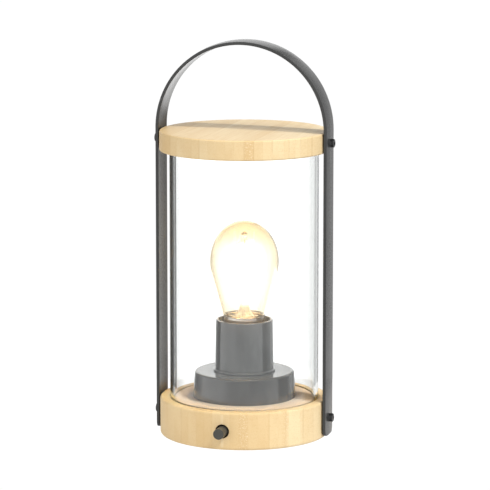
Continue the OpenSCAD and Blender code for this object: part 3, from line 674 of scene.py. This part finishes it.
def backdrop(name):
    """Matt pale paper for the floor."""
    f = Finish(name)
    grain = f.noise((220, 220, 220), 4.0, 0.6)
    shade = f.mix(f.range(grain, 0.3, 0.7), (0.36, 0.36, 0.36), (0.4, 0.4, 0.4))
    paper = f.surface(Base_Color=shade, Roughness=0.9, Normal=f.bump(grain, 0.05 * MM, 0.3),
                      Emission_Color=(1.0, 1.0, 1.0, 1.0), Emission_Strength=0.5)
    bright = f.add("ShaderNodeEmission", {"Color": (1, 1, 1, 1), "Strength": 1.1})
    f.feed(f.output.inputs["Surface"],
           f.add("ShaderNodeMixShader", {0: f.unbounced(), 1: paper.outputs[0],
                                         2: bright.outputs[0]}).outputs[0])
    return f.material


lid_wood = bamboo(
    "bamboo_lid", [v * MM for v in (-38.5, -15.4, 14.0, 19.8, 30.4, 39.5, 45.3, 50.4)],
    [1.2, 0.65, 0.55, 1.0, 0.42, 0.28, 0.05, 0.38, 0.3], (14.0 * MM, 19.8 * MM, -52.2 * MM),
    top=200.5 * MM)
base_wood = bamboo(
    "bamboo_base", [v * MM for v in (-29.8, 28.9, 38.2, 46.8)], [0.85, 0.85, 0.45, 0.0, 0.15],
    (10.6 * MM, 16.6 * MM, -53 * MM), top=25.4 * MM, inside=46 * MM)
strap_coat = powder_coat("anthracite_coat")
# Painted light: one grey paint as two copies, the holder's painted lighter and the cup's
# darker, to even out the light that falls on each.
holder_paint_lightened = moulded("holder_gloss_lightened", (0.165, 0.1655, 0.167), 0.07, 1.6, 0.002, 0.2,
                       ior=1.75)
cup_paint_darkened = moulded("cup_gloss_darkened", (0.094, 0.0945, 0.096), 0.07, 1.6, 0.002, 0.2, ior=1.6)
black_plastic = moulded("black_plastic", (0.014, 0.014, 0.015), 0.42)
white_plastic = moulded("white_plastic", (0.78, 0.78, 0.76), 0.38)
button_plastic = moulded("button_black", (0.034, 0.034, 0.028), 0.34, 0.3, 0.008)
rubber = moulded("black_rubber", (0.018, 0.018, 0.018), 0.75, 0.4, 0.03)
silicone = moulded("clear_silicone", (0.62, 0.63, 0.62), 0.5, 0.5, 0.02)
ceramic = moulded("ceramic", (0.82, 0.8, 0.75), 0.32, 0.5, 0.02)
seal_glass = moulded("black_glass", (0.012, 0.011, 0.014), 0.12, 1.2, 0.02)
red_lead = moulded("red_lead", (0.5, 0.018, 0.014), 0.42, 0.6, 0.02)
white_lead = moulded("white_lead", (0.74, 0.73, 0.7), 0.42, 0.6, 0.02)
steel = metal("steel", (0.56, 0.56, 0.57), 0.28)
lead_wire = metal("lead_wire", (0.86, 0.83, 0.77), 0.4, tint=(0.74, 0.7, 0.62))
# The screw heads' pale edges are worn metal and a painted rim highlight.
black_steel = metal("black_steel", (0.045, 0.045, 0.046), 0.3, pale_tone=(0.3, 0.3, 0.305))
brass = metal("brass", (0.72, 0.53, 0.25), 0.24, tint=(0.5, 0.34, 0.14))
nickel = metal("nickelled_cap", (0.66, 0.61, 0.55), 0.22, (0.1, 0.1, 1),
               tint=(0.48, 0.42, 0.37))
battery_foil = foil("battery_foil")
board = circuit("board_green")
clear_glass = glass("clear_glass", (0.55, 0.86, 0.72), 10)
amber_glass = glass("amber_glass", (0.95, 0.77, 0.3), 340, shadow=(0.95, 0.86, 0.68),
                    crown=(120 * MM, 137 * MM, (1.0, 0.925, 0.81)))
stem_glass = milk_glass("stem_glass")
filament_coat = phosphor("phosphor")

# Materials of the CAD nodes that stay
NODE_FINISHES = [
    (black_plastic, ["bottom_cover", "board_chips", "usb_bezel", "push_switch"]),
    (steel, ["cover_screws", "board_screws", "usb_receptacle", "nipple_washer",
             "terminal_screws", "tip_contact"]),
    (brass, ["threaded_inserts", "threaded_nipple", "nipple_nut", "centre_contact"]),
    (rubber, ["foot_ring"]),
    (battery_foil, ["battery_pack"]),
    (board, ["control_board"]),
    (white_plastic, ["switch_plunger"]),
    (red_lead, ["battery_leads"]),
    (white_lead, ["switch_leads", "lamp_leads"]),
    (silicone, ["lower_gasket", "upper_gasket"]),
    (ceramic, ["holder_insulator"]),
    (seal_glass, ["cap_insulator"]),
    (stem_glass, ["bulb_stem"]),
    (lead_wire, ["filament_wires"]),
]


def finish_nodes():
    for material, nodes in NODE_FINISHES:
        for node in nodes:
            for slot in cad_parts[node].material_slots:
                slot.material = material


# Wooden pieces and the glass between them


def side_holes(mesh, radius, start, reach, z):
    """A hole outwards along X at each side, from a distance off the lamp's axis."""
    for side in (-1, 1):
        drill(mesh, radius, reach, 48, along((side, 0, 0), (side * start, 0, z)))


def insert_holes(mesh, z):
    """The two drilled holes for the threaded inserts, at a height."""
    side_holes(mesh, INSERT_R, WOOD_R - INSERT_HOLE_LEN, 12 * MM, z)


def slot_cutter(mesh, width, height, z, y0, y1):
    """A cutter along Y with round ends, for the port."""
    steps = 24
    ring = []
    for side in (1, -1):
        for k in range(steps + 1):
            a = pi * (k / steps - 0.5)
            ring.append((side * ((width - height) / 2 + height / 2 * cos(a)),
                         z + side * height / 2 * sin(a)))
    loft(mesh, [[Vector((x, y, h)) for x, h in ring] for y in (y0, y1)])


def box_cutter(mesh, low, high):
    corners = [(low[0], low[1]), (high[0], low[1]), (high[0], high[1]), (low[0], high[1])]
    loft(mesh, [[Vector((x, y, z)) for x, y in corners] for z in (low[2], high[2])])


def button_hole(mesh, z):
    """A bore as wide as the button and its gap, with a wider mouth in the wood's face."""
    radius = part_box("power_button")[1].x + BUTTON_GAP
    depth, narrow, mouth, end = 15 * MM, 11 * MM, 12.2 * MM, 15.8 * MM
    outline = [(0, 0), (radius, 0), (radius, narrow), (BORE_R, mouth), (BORE_R, end),
               (0, end)]
    turned_at(mesh, outline, 96, along((0, -1, 0), (0, depth - WOOD_R, z)))


def make_base():
    low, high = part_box("base_drum")
    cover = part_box("bottom_cover")
    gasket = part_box("lower_gasket")
    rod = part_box("threaded_nipple")[1].x
    cover_r = cover[1].x + COVER_GAP
    cover_top = cover[0].z + COVER_T
    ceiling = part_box("nipple_washer")[1].z
    groove_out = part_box("glass_cylinder")[1].x + GROOVE_GAP
    groove_in = groove_inner()
    outline = [(rod, ceiling), (CAVITY_R, ceiling), (CAVITY_R, cover_top),
               (cover_r, cover_top), (cover_r, low.z), (high.x, low.z), (high.x, high.z),
               (groove_out, high.z), (groove_out, gasket[0].z), (groove_in, gasket[0].z),
               (groove_in, high.z), (rod, high.z)]
    rounds = [0, 1 * MM, 0, 0, 0.3 * MM, WOOD_FOOT_ROUND, WOOD_TOP_ROUND, GROOVE_LIP, 0, 0,
              GROOVE_LIP, 0]
    made = turned_piece("bamboo_base", outline, rounds, 8, base_wood,
                        "base_drum")

    holes = bmesh.new()
    insert_holes(holes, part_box("threaded_inserts")[0].z + INSERT_R)
    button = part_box("power_button")
    button_hole(holes, (button[0].z + button[1].z) / 2)
    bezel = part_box("usb_bezel")
    slot_cutter(holes, bezel[1].x - bezel[0].x, bezel[1].z - bezel[0].z,
                (bezel[0].z + bezel[1].z) / 2, bezel[0].y - 1 * MM, high.x + 1 * MM)
    for k in range(4):
        at = polar(COVER_SCREW_RING, radians(45 + 90 * k))
        drill(holes, COVER_SCREW_R, 10 * MM, 32, Matrix.Translation(at))
    cut(made, holes)
    pocket = bmesh.new()
    box_cutter(pocket, (-POCKET_HALF, CAVITY_R - 3 * MM, cover_top - 0.1 * MM),
               (POCKET_HALF, bezel[0].y, ceiling))
    cut(made, pocket)


def groove_inner():
    """Inner radius of the ring groove in the wood."""
    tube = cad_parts["glass_cylinder"].data.vertices
    return min(v.co.xy.length for v in tube) - GROOVE_GAP


def make_lid():
    low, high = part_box("lid_disc")
    gasket_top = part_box("upper_gasket")[1].z
    groove_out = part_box("glass_cylinder")[1].x + GROOVE_GAP
    groove_in = groove_inner()
    outline = [(0, low.z), (groove_in, low.z), (groove_in, gasket_top),
               (groove_out, gasket_top), (groove_out, low.z), (high.x, low.z),
               (high.x, high.z), (0, high.z)]
    rounds = [0, GROOVE_LIP, 0, 0, GROOVE_LIP, LID_ROUND, LID_ROUND, 0]
    made = turned_piece("bamboo_lid", outline, rounds, 8, lid_wood,
                        "lid_disc", closed=False)
    holes = bmesh.new()
    insert_holes(holes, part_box("threaded_inserts")[1].z - INSERT_R)
    cut(made, holes)


def make_tube():
    low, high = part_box("glass_cylinder")
    inner = groove_inner() + GROOVE_GAP
    outline = [(inner, low.z), (high.x, low.z), (high.x, high.z), (inner, high.z)]
    turned_piece("glass_tube", outline, [0.5 * MM] * 4, 6, clear_glass,
                 "glass_cylinder")


# Strap and its screws


def strap_station(s, leg, arch_r, arch_z, foot):
    """Middle of the strap at length s from the left leg's end, and its outward normal."""
    turn = pi * arch_r
    if s < leg:
        return Vector((-arch_r, 0, foot + s)), Vector((-1, 0, 0))
    if s > leg + turn:
        return Vector((arch_r, 0, foot + 2 * leg + turn - s)), Vector((1, 0, 0))
    a = pi - (s - leg) / arch_r
    out = Vector((cos(a), 0, sin(a)))
    return Vector((0, 0, arch_z)) + out * arch_r, out


def make_strap():
    """One strip along the legs and the arch, with rounded corners at its ends."""
    low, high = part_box("strap_handle")
    half_t = (high.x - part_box("lid_disc")[1].x) / 2
    arch_r = high.x - half_t
    arch_z = high.z - high.x
    leg = arch_z - low.z
    turn = pi * arch_r
    total = 2 * leg + turn
    one_leg = [e * MM for e in (0.0, 0.12, 0.35, 0.8, 1.5, 2.3, 3.2, 4.5)]
    one_leg += [leg * k / 24 for k in range(1, 25)]
    places = one_leg + [leg + turn * k / 96 for k in range(1, 96)]
    places += [total - s for s in one_leg[::-1]]
    rows = []
    for s in sorted(set(round(s, 9) for s in places)):
        middle, out = strap_station(s, leg, arch_r, arch_z, low.z)
        near = min(s, total - s)
        pull = max(0.0, LEG_CORNER - near)
        width = high.y - LEG_CORNER + sqrt(max(0.0, LEG_CORNER**2 - pull**2))
        dip = max(0.0, STRAP_SOFT - near)
        shrink = STRAP_SOFT - sqrt(max(0.0, STRAP_SOFT**2 - dip**2))
        rows.append(strap_row(middle, out, width - shrink, half_t - shrink))
    mesh = bmesh.new()
    loft(mesh, rows)
    sharp = radians(50)
    made = piece("strap", mesh, strap_coat, "lamp", ["strap_handle"],
                 sharp)
    holes = bmesh.new()
    for z in screw_heights():
        side_holes(holes, STRAP_HOLE_R, 53 * MM, 6 * MM, z)
    cut(made, holes, sharp)


def strap_row(middle, out, half_w, half_t):
    """A rounded rectangle across the strap, wide along Y and thick along its normal,
    a little crowned, as rolled strip is."""
    soft = min(STRAP_SOFT * 0.98, half_t * 0.9)
    flat = half_w - soft
    across = []
    for sx, sy, start in ((1, 1, 0), (-1, 1, 90), (-1, -1, 180), (1, -1, 270)):
        for k in range(5):
            a = radians(start + 22.5 * k)
            across.append((sx * flat + soft * cos(a),
                           sy * (half_t - soft) + soft * sin(a)))
        if sx == sy:
            across += [(sx * flat * (1 - k / 5), sy * half_t) for k in range(1, 10)]
    return [
        middle + Vector((0, u, 0)) + out * (v + STRAP_CROWN * (1 - (u / STRAP_HALF_W) ** 2))
        for u, v in across
    ]


def screw_heights():
    """Heights of the strap's lower and upper screws."""
    low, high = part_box("strap_screws")
    return low.z + SCREW_HEAD_R, high.z - SCREW_HEAD_R


def make_strap_screws():
    """Cap head screws: knurled sides, a rounded rim and a hexagon socket."""
    sides = 144
    turn = [2 * pi * k / sides for k in range(sides)]
    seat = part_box("strap_handle")[1].x

    def level(r, h, knurl=0.0, hexagon=False):
        """A ring of points at radius r and height h, knurled or drawn out to a hexagon."""
        ring = []
        for a in turn:
            reach = r - knurl * KNURL_DEPTH * (0.5 + 0.5 * cos(KNURLS * a))
            if hexagon:
                reach = r / cos(a % (pi / 3) - pi / 6)
            ring.append(polar(reach, a, h))
        return ring

    rows = [level(SCREW_R - 0.3 * MM, -SCREW_LEN)]
    for k in range(1, 2 * int(SCREW_LEN / SHANK_PITCH)):
        root = SHANK_ROOT if k % 2 else 0
        rows.append(level(SCREW_R - root, k * SHANK_PITCH / 2 - SCREW_LEN))
    rows += [
        level(SCREW_R, 0),
        level(SCREW_HEAD_R - 0.25 * MM, 0),
        level(SCREW_HEAD_R, 0.18 * MM),
        level(SCREW_HEAD_R, 0.32 * MM, knurl=1.0),
        level(SCREW_HEAD_R, SCREW_HEAD_H - 0.6 * MM, knurl=1.0),
        level(SCREW_HEAD_R, SCREW_HEAD_H - 0.42 * MM),
        level(SCREW_HEAD_R - 0.12 * MM, SCREW_HEAD_H - 0.15 * MM),
        level(SCREW_HEAD_R - 0.38 * MM, SCREW_HEAD_H),
        level(SOCKET_R * 1.28, SCREW_HEAD_H),
        level(SOCKET_R, SCREW_HEAD_H - 0.12 * MM, hexagon=True),
        level(SOCKET_R, SCREW_HEAD_H - SOCKET_DEPTH, hexagon=True),
        [Vector((0, 0, SCREW_HEAD_H - SOCKET_DEPTH - 0.35 * MM))],
    ]
    mesh = bmesh.new()
    for z in screw_heights():
        for side in (-1, 1):
            loft(mesh, placed(rows, along((side, 0, 0), (side * seat, 0, z))))
    piece("strap_screw_heads", mesh, black_steel, "lamp", ["strap_screws"],
          radians(40))


# Lampholder


def make_cup():
    low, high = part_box("lampholder_cup")
    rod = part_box("threaded_nipple")[1].x
    roof = high.z - CUP_WALL
    outline = [(rod, roof), (CUP_TOP_R - CUP_WALL, roof), (high.x - CUP_WALL, low.z),
               (high.x, low.z), (CUP_TOP_R, high.z), (rod, high.z)]
    rounds = [0, 0.5 * MM, 0.15 * MM, 0.25 * MM, CUP_ROUND, 0]
    turned_piece("holder_cup", outline, rounds, 10, cup_paint_darkened,
                 "lampholder_cup")


def make_holder():
    low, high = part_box("lampholder_body")
    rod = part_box("threaded_nipple")[1].x
    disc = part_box("holder_insulator")
    disc_foot, bore = disc[0].z, disc[1].x
    floor = low.z + HOLDER_FLOOR_T
    ring_top = low.z + FOOT_RING_H
    outline = [(rod, low.z), (high.x, low.z), (high.x, ring_top),
               (HOLDER_FOOT_R - 0.02 * MM, ring_top), (HOLDER_MOUTH_R, high.z),
               (bore, high.z), (bore, disc_foot), (HOLDER_LEDGE_R, disc_foot),
               (HOLDER_LEDGE_R, floor), (rod, floor)]
    rounds = [0, 0.2 * MM, 0.55 * MM, 0.3 * MM, 0.7 * MM, 0.45 * MM, 0, 0.2 * MM, 0.5 * MM, 0]
    turned_piece("lampholder", outline, rounds, 8, holder_paint_lightened,
                 "lampholder_body")


def grown(t):
    """0 below 0, 1 above 1, and smooth between."""
    t = min(1.0, max(0.0, t))
    return t * t * (3 - 2 * t)


def thread_rows(z0, z1, radius_at, sides):
    """Rows up a rolled thread, sixteen to each pitch."""
    count = ceil((z1 - z0) / THREAD_PITCH * 16)
    rows = []
    for k in range(count + 1):
        z = z0 + (z1 - z0) * k / count
        turn = (2 * pi * i / sides for i in range(sides))
        rows.append([polar(radius_at(z, a), a, z) for a in turn])
    return rows


def thread_wave(mean, z, a):
    """Radius of the rolled thread at a height over the cap's foot and an angle."""
    return mean + THREAD_WAVE * cos(2 * pi * z / THREAD_PITCH - a)


def make_bulb_cap():
    low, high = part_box("bulb_cap")
    foot, top = low.z, high.z
    collar_foot = top - COLLAR_H
    thread_top = collar_foot - CAP_SHOULDER_H

    def radius_at(z, a):
        wave = thread_wave(CAP_MEAN_R, z - foot, a)
        threaded = CAP_PLAIN_R + grown((z - foot) / THREAD_FADE) * (wave - CAP_PLAIN_R)
        share = grown((z - thread_top) / (collar_foot - thread_top))
        return threaded + share * (COLLAR_R - threaded)

    lip = [(COLLAR_R, top - 0.6 * MM), (COLLAR_R + 0.1 * MM, top - 0.45 * MM),
           (COLLAR_R + 0.15 * MM, top - 0.25 * MM), (COLLAR_R + 0.08 * MM, top - 0.06 * MM),
           (COLLAR_R - 0.1 * MM, top), (CAP_NECK_INNER_R, top),
           (CAP_NECK_INNER_R, collar_foot + 0.2 * MM), (CAP_INNER_R, collar_foot - 0.4 * MM),
           (CAP_INNER_R, foot + 0.1 * MM), (CAP_INNER_R + 0.1 * MM, foot)]
    mesh = bmesh.new()
    rows = thread_rows(foot, collar_foot, radius_at, FINE_SIDES)
    loft(mesh, rows + turned(lip, FINE_SIDES), True)
    piece("bulb_screw_cap", mesh, nickel, "bulb_core", ["bulb_cap"])
    make_cap_solder(collar_foot)


def make_cap_solder(collar_foot):
    """The drop of solder that joins a lead wire to the cap's collar."""
    drop = [(0, 0), (1.6 * MM, 0), (1.5 * MM, 0.25 * MM), (0.9 * MM, 0.8 * MM),
            (0, 1.0 * MM)]
    out = polar(1, radians(200))
    place = along(out, out * (COLLAR_R - 0.75 * MM) + Vector((0, 0, collar_foot)))
    mesh = bmesh.new()
    turned_at(mesh, drop, 32, place @ Matrix.Diagonal((0.8, 0.9, 0.32, 1)))
    piece("cap_solder", mesh, steel, "bulb_core")


def make_screw_shell():
    low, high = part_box("screw_shell")
    foot, top = low.z, high.z
    start = foot + SHELL_LEAD
    cap_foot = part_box("bulb_cap")[0].z

    def radius_at(z, a):
        share = grown((z - start) / THREAD_FADE) * grown((top - z) / THREAD_FADE)
        wave = thread_wave(SHELL_MEAN_R, z - cap_foot, a)
        return SHELL_MOUTH_R + share * (wave - SHELL_MOUTH_R)

    rows = turned([(SHELL_FLANGE_R, foot + SHELL_SHEET), (SHELL_FLANGE_R, foot),
                   (high.x, foot), (high.x, top)], FINE_SIDES)
    rows += thread_rows(start, top, radius_at, FINE_SIDES)[::-1]
    rows += turned([(SHELL_MOUTH_R - SHELL_SHEET, foot + SHELL_SHEET)], FINE_SIDES)
    mesh = bmesh.new()
    loft(mesh, rows, True)
    piece("socket_thread", mesh, brass, "lamp", ["screw_shell"])


# Bulb


def arc(centre, rx, rz, start, end, steps):
    """Points (r, z) round a centre, from one angle to another."""
    turn = [start + (end - start) * k / steps for k in range(steps + 1)]
    return [(centre[0] + rx * cos(a), centre[1] + rz * sin(a)) for a in turn]


def bulb_outline(inset, foot, radius):
    """Outline of the bulb's glass, drawn inwards by inset, from the neck to the top."""
    neck_z = foot + NECK_LEN
    flank_top_r = radius - BLEND_R * (1 - cos(FLANK_ANGLE))
    flank_h = (flank_top_r - SHOULDER_R) / tan(FLANK_ANGLE)
    middle = neck_z + SHOULDER_ROUND + flank_h + BLEND_R * sin(FLANK_ANGLE)
    out = [(NECK_R - inset, foot), (NECK_R - inset, neck_z + inset * 0.6)]
    out += arc((SHOULDER_R - SHOULDER_ROUND, neck_z + SHOULDER_ROUND),
               SHOULDER_ROUND - inset, SHOULDER_ROUND - inset, radians(-80),
               -FLANK_ANGLE, 6)
    out += arc((radius - BLEND_R, middle), BLEND_R - inset, BLEND_R - inset, -FLANK_ANGLE,
               0, 14)
    out += arc((0, middle), radius - inset, DOME_RISE - inset, radians(3),
               radians(90), 36)
    out[-1] = (0, out[-1][1])
    return out


def make_bulb_glass():
    low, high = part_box("bulb_envelope")
    mesh = bmesh.new()
    outer, inner = [
        loft(mesh, turned(bulb_outline(inset, low.z, high.x), FINE_SIDES), capped=False)
        for inset in (0, BULB_WALL)
    ]
    for k in range(FINE_SIDES):
        j = (k + 1) % FINE_SIDES
        mesh.faces.new((outer[0][k], inner[0][k], inner[0][j], outer[0][j]))
    piece("bulb_amber_glass", mesh, amber_glass, "bulb_glass",
          ["bulb_envelope"], radians(70))


def make_filaments():
    """Phosphor rods with rounded ends and small metal caps."""
    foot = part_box("led_filaments")[0].z
    rods = bmesh.new()
    tips = bmesh.new()
    r = FILAMENT_R
    body = [(0, 0.5 * MM), (r * 0.55, 0.55 * MM), (r * 0.9, 0.9 * MM), (r, 1.4 * MM),
            (r, FILAMENT_LEN - 1.4 * MM), (r * 0.9, FILAMENT_LEN - 0.9 * MM),
            (r * 0.55, FILAMENT_LEN - 0.55 * MM), (0, FILAMENT_LEN - 0.5 * MM)]
    cap = [(0, 0), (0.42 * MM, 0.02 * MM), (0.5 * MM, 0.2 * MM), (0.5 * MM, 0.75 * MM),
           (0, 0.75 * MM)]
    for a in FILAMENT_ANGLES:
        start = polar(FILAMENT_RING, a, foot)
        way = polar(sin(FILAMENT_LEAN), a, cos(FILAMENT_LEAN))
        turned_at(rods, body, 32, along(way, start))
        turned_at(tips, cap, 24, along(way, start))
        turned_at(tips, cap, 24, along(-way, start + way * FILAMENT_LEN))
    piece("filament_rods", rods, filament_coat, "bulb_core",
          ["led_filaments"])
    piece("filament_tips", tips, lead_wire, "bulb_core")


# Button and port details


def make_button():
    """Push button: a rounded rim and a slightly dished face."""
    low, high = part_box("power_button")
    radius = high.x
    length = high.y - low.y
    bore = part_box("switch_plunger")[1].x
    dish_r = 0.78
    rim = [(radius - BUTTON_EDGE * (1 - cos(a)), length - BUTTON_EDGE * (1 - sin(a)))
           for a in (radians(15 * k) for k in range(7))]
    dish = [(radius * s, length - BUTTON_DISH * (1 - (s / dish_r) ** 2))
            for s in (dish_r, 0.66, 0.52, 0.36, 0.18, 0)]
    outline = [(bore, BUTTON_GRIP), (bore, 0), (radius - 0.2 * MM, 0), (radius, 0.2 * MM)]
    rows = [[Vector((0, 0, BUTTON_GRIP))]] + turned(outline + rim + dish, 96)
    centre = ((low.x + high.x) / 2, high.y, (low.z + high.z) / 2)
    mesh = bmesh.new()
    loft(mesh, placed(rows, along((0, -1, 0), centre)))
    piece("push_button", mesh, button_plastic, "button", ["power_button"])


def make_port_contacts():
    """Gilt contact pads on both faces of the port's tongue."""
    low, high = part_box("usb_receptacle")
    middle = (low.z + high.z) / 2
    count, pitch, half_w, length, tip = 12, 0.5 * MM, 0.12 * MM, 3.2 * MM, 0.06 * MM
    face, half_t, mouth = 0.36 * MM, 0.04 * MM, high.y - 1.3 * MM
    mesh = bmesh.new()
    for side in (-1, 1):
        z = middle + side * face
        for k in range(count):
            x = (k - (count - 1) / 2) * pitch
            ring = [(x - half_w, mouth - length), (x + half_w, mouth - length),
                    (x + half_w, mouth), (x, mouth + tip), (x - half_w, mouth)]
            loft(mesh, [[Vector((u, v, h)) for u, v in ring]
                        for h in (z - half_t, z + half_t)])
    piece("port_contacts", mesh, brass, "lamp")


# Camera, floor and light

FLOOR_R = 0.18
BULB_CENTRE = (0, 0, 0.12)


def make_camera():
    """The photograph's view: 15 degrees to the right of the front and a little above."""
    azimuth, elevation = radians(15.0), radians(9.48)
    distance, aim_z, aside = 1.9596, 0.1250, 0.00046
    focal_px, frame_px, sensor = 3014, 490, 36
    back = Vector((sin(azimuth) * cos(elevation),
                   -cos(azimuth) * cos(elevation), sin(elevation)))
    aim = Vector((aside * cos(azimuth), aside * sin(azimuth), aim_z))
    data = bpy.data.cameras.new("photo_camera")
    data.sensor_width = sensor
    data.lens = focal_px / frame_px * sensor
    data.clip_start, data.clip_end = 0.05, 50
    camera = bpy.data.objects.new("photo_camera", data)
    camera.location = aim + back * distance
    camera.rotation_mode = "QUATERNION"
    camera.rotation_quaternion = (-back).to_track_quat("-Z", "Y")
    scene.collection.objects.link(camera)
    scene.camera = camera


def make_floor():
    mesh = bmesh.new()
    ring = turned([(FLOOR_R, 0)], FINE_SIDES)[0]
    mesh.faces.new([mesh.verts.new(p) for p in ring])
    floor = piece("floor", mesh, backdrop("floor_paper"), None)


def lamp_object(name, data, place):
    lamp = bpy.data.objects.new(name, data)
    lamp.location = place
    scene.collection.objects.link(lamp)
    return lamp


def softbox(name, place, width, height, power):
    """A rectangular lamp that faces the bulb."""
    data = bpy.data.lights.new(name, "AREA")
    data.shape = "RECTANGLE"
    data.size, data.size_y = width, height
    data.energy = power
    lamp = lamp_object(name, data, place)
    lamp.rotation_mode = "QUATERNION"
    way = Vector(BULB_CENTRE) - Vector(place)
    lamp.rotation_quaternion = way.to_track_quat("-Z", "Y")
    return lamp


def make_lights():
    key = softbox("key_right", (0.983, -0.358, 1.46), 0.07, 0.07, 18)
    key.visible_glossy = False
    softbox("fill_right", (0.778, -0.7, 1.46), 0.7, 0.5, 8)
    softbox("fill_front", (-0.3, -1.6, 0.9), 1.0, 1.0, 3.5)
    glow = bpy.data.lights.new("bulb_glow", "POINT")
    glow.shadow_soft_size = 0.018
    glow.energy = 0.42
    glow.color = (1.0, 0.93, 0.82)
    lamp = lamp_object("bulb_glow", glow, BULB_CENTRE)
    lamp.visible_camera = False
    lamp.visible_transmission = False
    lamp.visible_glossy = False


# Brightness of the studio, by the angle from +X in degrees, and of what is over and
# under it. Heights are the sine of a direction's elevation.
STUDIO_LEVELS = [
    (-172, 1.4), (-118, 1.4), (-100, 0.95), (-48, 0.95), (-34, 1.0), (4, 1.0), (10, 0.05),
    (26, 0.05), (32, 0.25), (44, 0.25), (52, 0.65), (60, 0.65), (66, 0.5), (72, 0.5),
    (78, 0.7), (81, 1.05), (84, 1.05), (86, 0.05), (92, 0.05), (95, 1.3), (125, 1.3),
    (134, 0.25), (168, 0.25),
]
STUDIO_PEAK = 2.2
STUDIO_CEILING = 0.3
CEILING_HEIGHTS = (0.35, 0.75)
STUDIO_TABLE = 0.35
TABLE_HEIGHTS = (-0.6, -0.35)


def studio_walls(n, z):
    """The levels round the lamp, and a bright card low behind it."""
    turn = n.math("ARCTAN2", n.axis("Y"), n.axis("X"))
    around = n.add("ShaderNodeValToRGB", {
        "Fac": n.range(turn, -pi, pi, 0.0, 1.0, False)})
    ramp = around.color_ramp
    for degrees, level in STUDIO_LEVELS:
        share = level / STUDIO_PEAK
        ramp.elements.new((degrees + 180) / 360).color = (share, share, share, 1)
    ends = STUDIO_LEVELS[0][1] / STUDIO_PEAK
    for element in (ramp.elements[0], ramp.elements[-1]):
        element.color = (ends, ends, ends, 1)
    around = n.times(around.outputs["Color"], STUDIO_PEAK)
    above = n.times(n.range(z, 0.03, 0.1), n.range(z, 0.19, 0.26, 1.45, 0.3))
    above = n.times(above, n.range(n.axis("X"), -0.05, 0.12, 1.0, 0.3))
    below = n.range(z, -0.26, -0.2, STUDIO_PEAK, 0.0)
    behind = n.range(n.axis("Y"), 0.55, 0.8)
    card = n.times(behind, n.math("MAXIMUM", above, below))
    return n.math("MAXIMUM", around, card)


def make_world():
    """White paper behind the lamp from wherever it is seen, and a studio of cards and
    gaps for reflections and soft light."""
    world = bpy.data.worlds.new("studio")
    world.use_nodes = True
    n = Nodes(world.node_tree, "ShaderNodeOutputWorld", "Generated")
    glazed = n.add("ShaderNodeLightPath").outputs["Transmission Depth"]
    seen = n.add("ShaderNodeBackground", {
        "Color": (1, 1, 1, 1), "Strength": n.range(glazed, 0, 4, 1.02, 1.42, False)})
    z = n.axis("Z")
    high = n.range(z, *CEILING_HEIGHTS)
    deep = n.fade(z, *TABLE_HEIGHTS)
    level = studio_walls(n, z)
    for share, end in ((high, STUDIO_CEILING), (deep, STUDIO_TABLE)):
        level = n.sum(n.times(level, n.minus(1.0, share)), n.times(share, end))
    lit = n.add("ShaderNodeBackground", {"Color": (1, 1, 1, 1), "Strength": level})
    blend = n.add("ShaderNodeMixShader", {0: n.unbounced(), 1: lit.outputs[0],
                                          2: seen.outputs[0]})
    n.feed(n.output.inputs["Surface"], blend.outputs[0])
    scene.world = world


def make_bloom():
    """The halo that a lit filament leaves on a photograph."""
    scene.use_nodes = True
    tree = scene.node_tree
    tree.nodes.clear()
    layers = tree.nodes.new("CompositorNodeRLayers")
    glare = tree.nodes.new("CompositorNodeGlare")
    glare.glare_type = "BLOOM"
    glare.quality = "HIGH"
    glare.inputs["Threshold"].default_value = 3.0
    glare.inputs["Strength"].default_value = 2.8
    glare.inputs["Saturation"].default_value = 0.5
    glare.inputs["Size"].default_value = 0.07
    output = tree.nodes.new("CompositorNodeComposite")
    tree.links.new(layers.outputs["Image"], glare.inputs["Image"])
    tree.links.new(glare.outputs["Image"], output.inputs["Image"])


def set_tones():
    """Plain tones, and room for the rays that cross several walls of glass."""
    scene.view_settings.view_transform = "Standard"
    scene.view_settings.look = "None"
    scene.cycles.transparent_max_bounces = 32
    scene.cycles.max_bounces = 16
    scene.cycles.transmission_bounces = 16
    scene.cycles.caustics_reflective = False
    scene.cycles.caustics_refractive = False


make_camera()
finish_nodes()
make_base()
make_lid()
make_tube()
make_strap()
make_strap_screws()
make_cup()
make_holder()
make_bulb_cap()
make_screw_shell()
make_bulb_glass()
make_filaments()
make_button()
make_port_contacts()
make_floor()
make_lights()
make_world()
make_bloom()
set_tones()
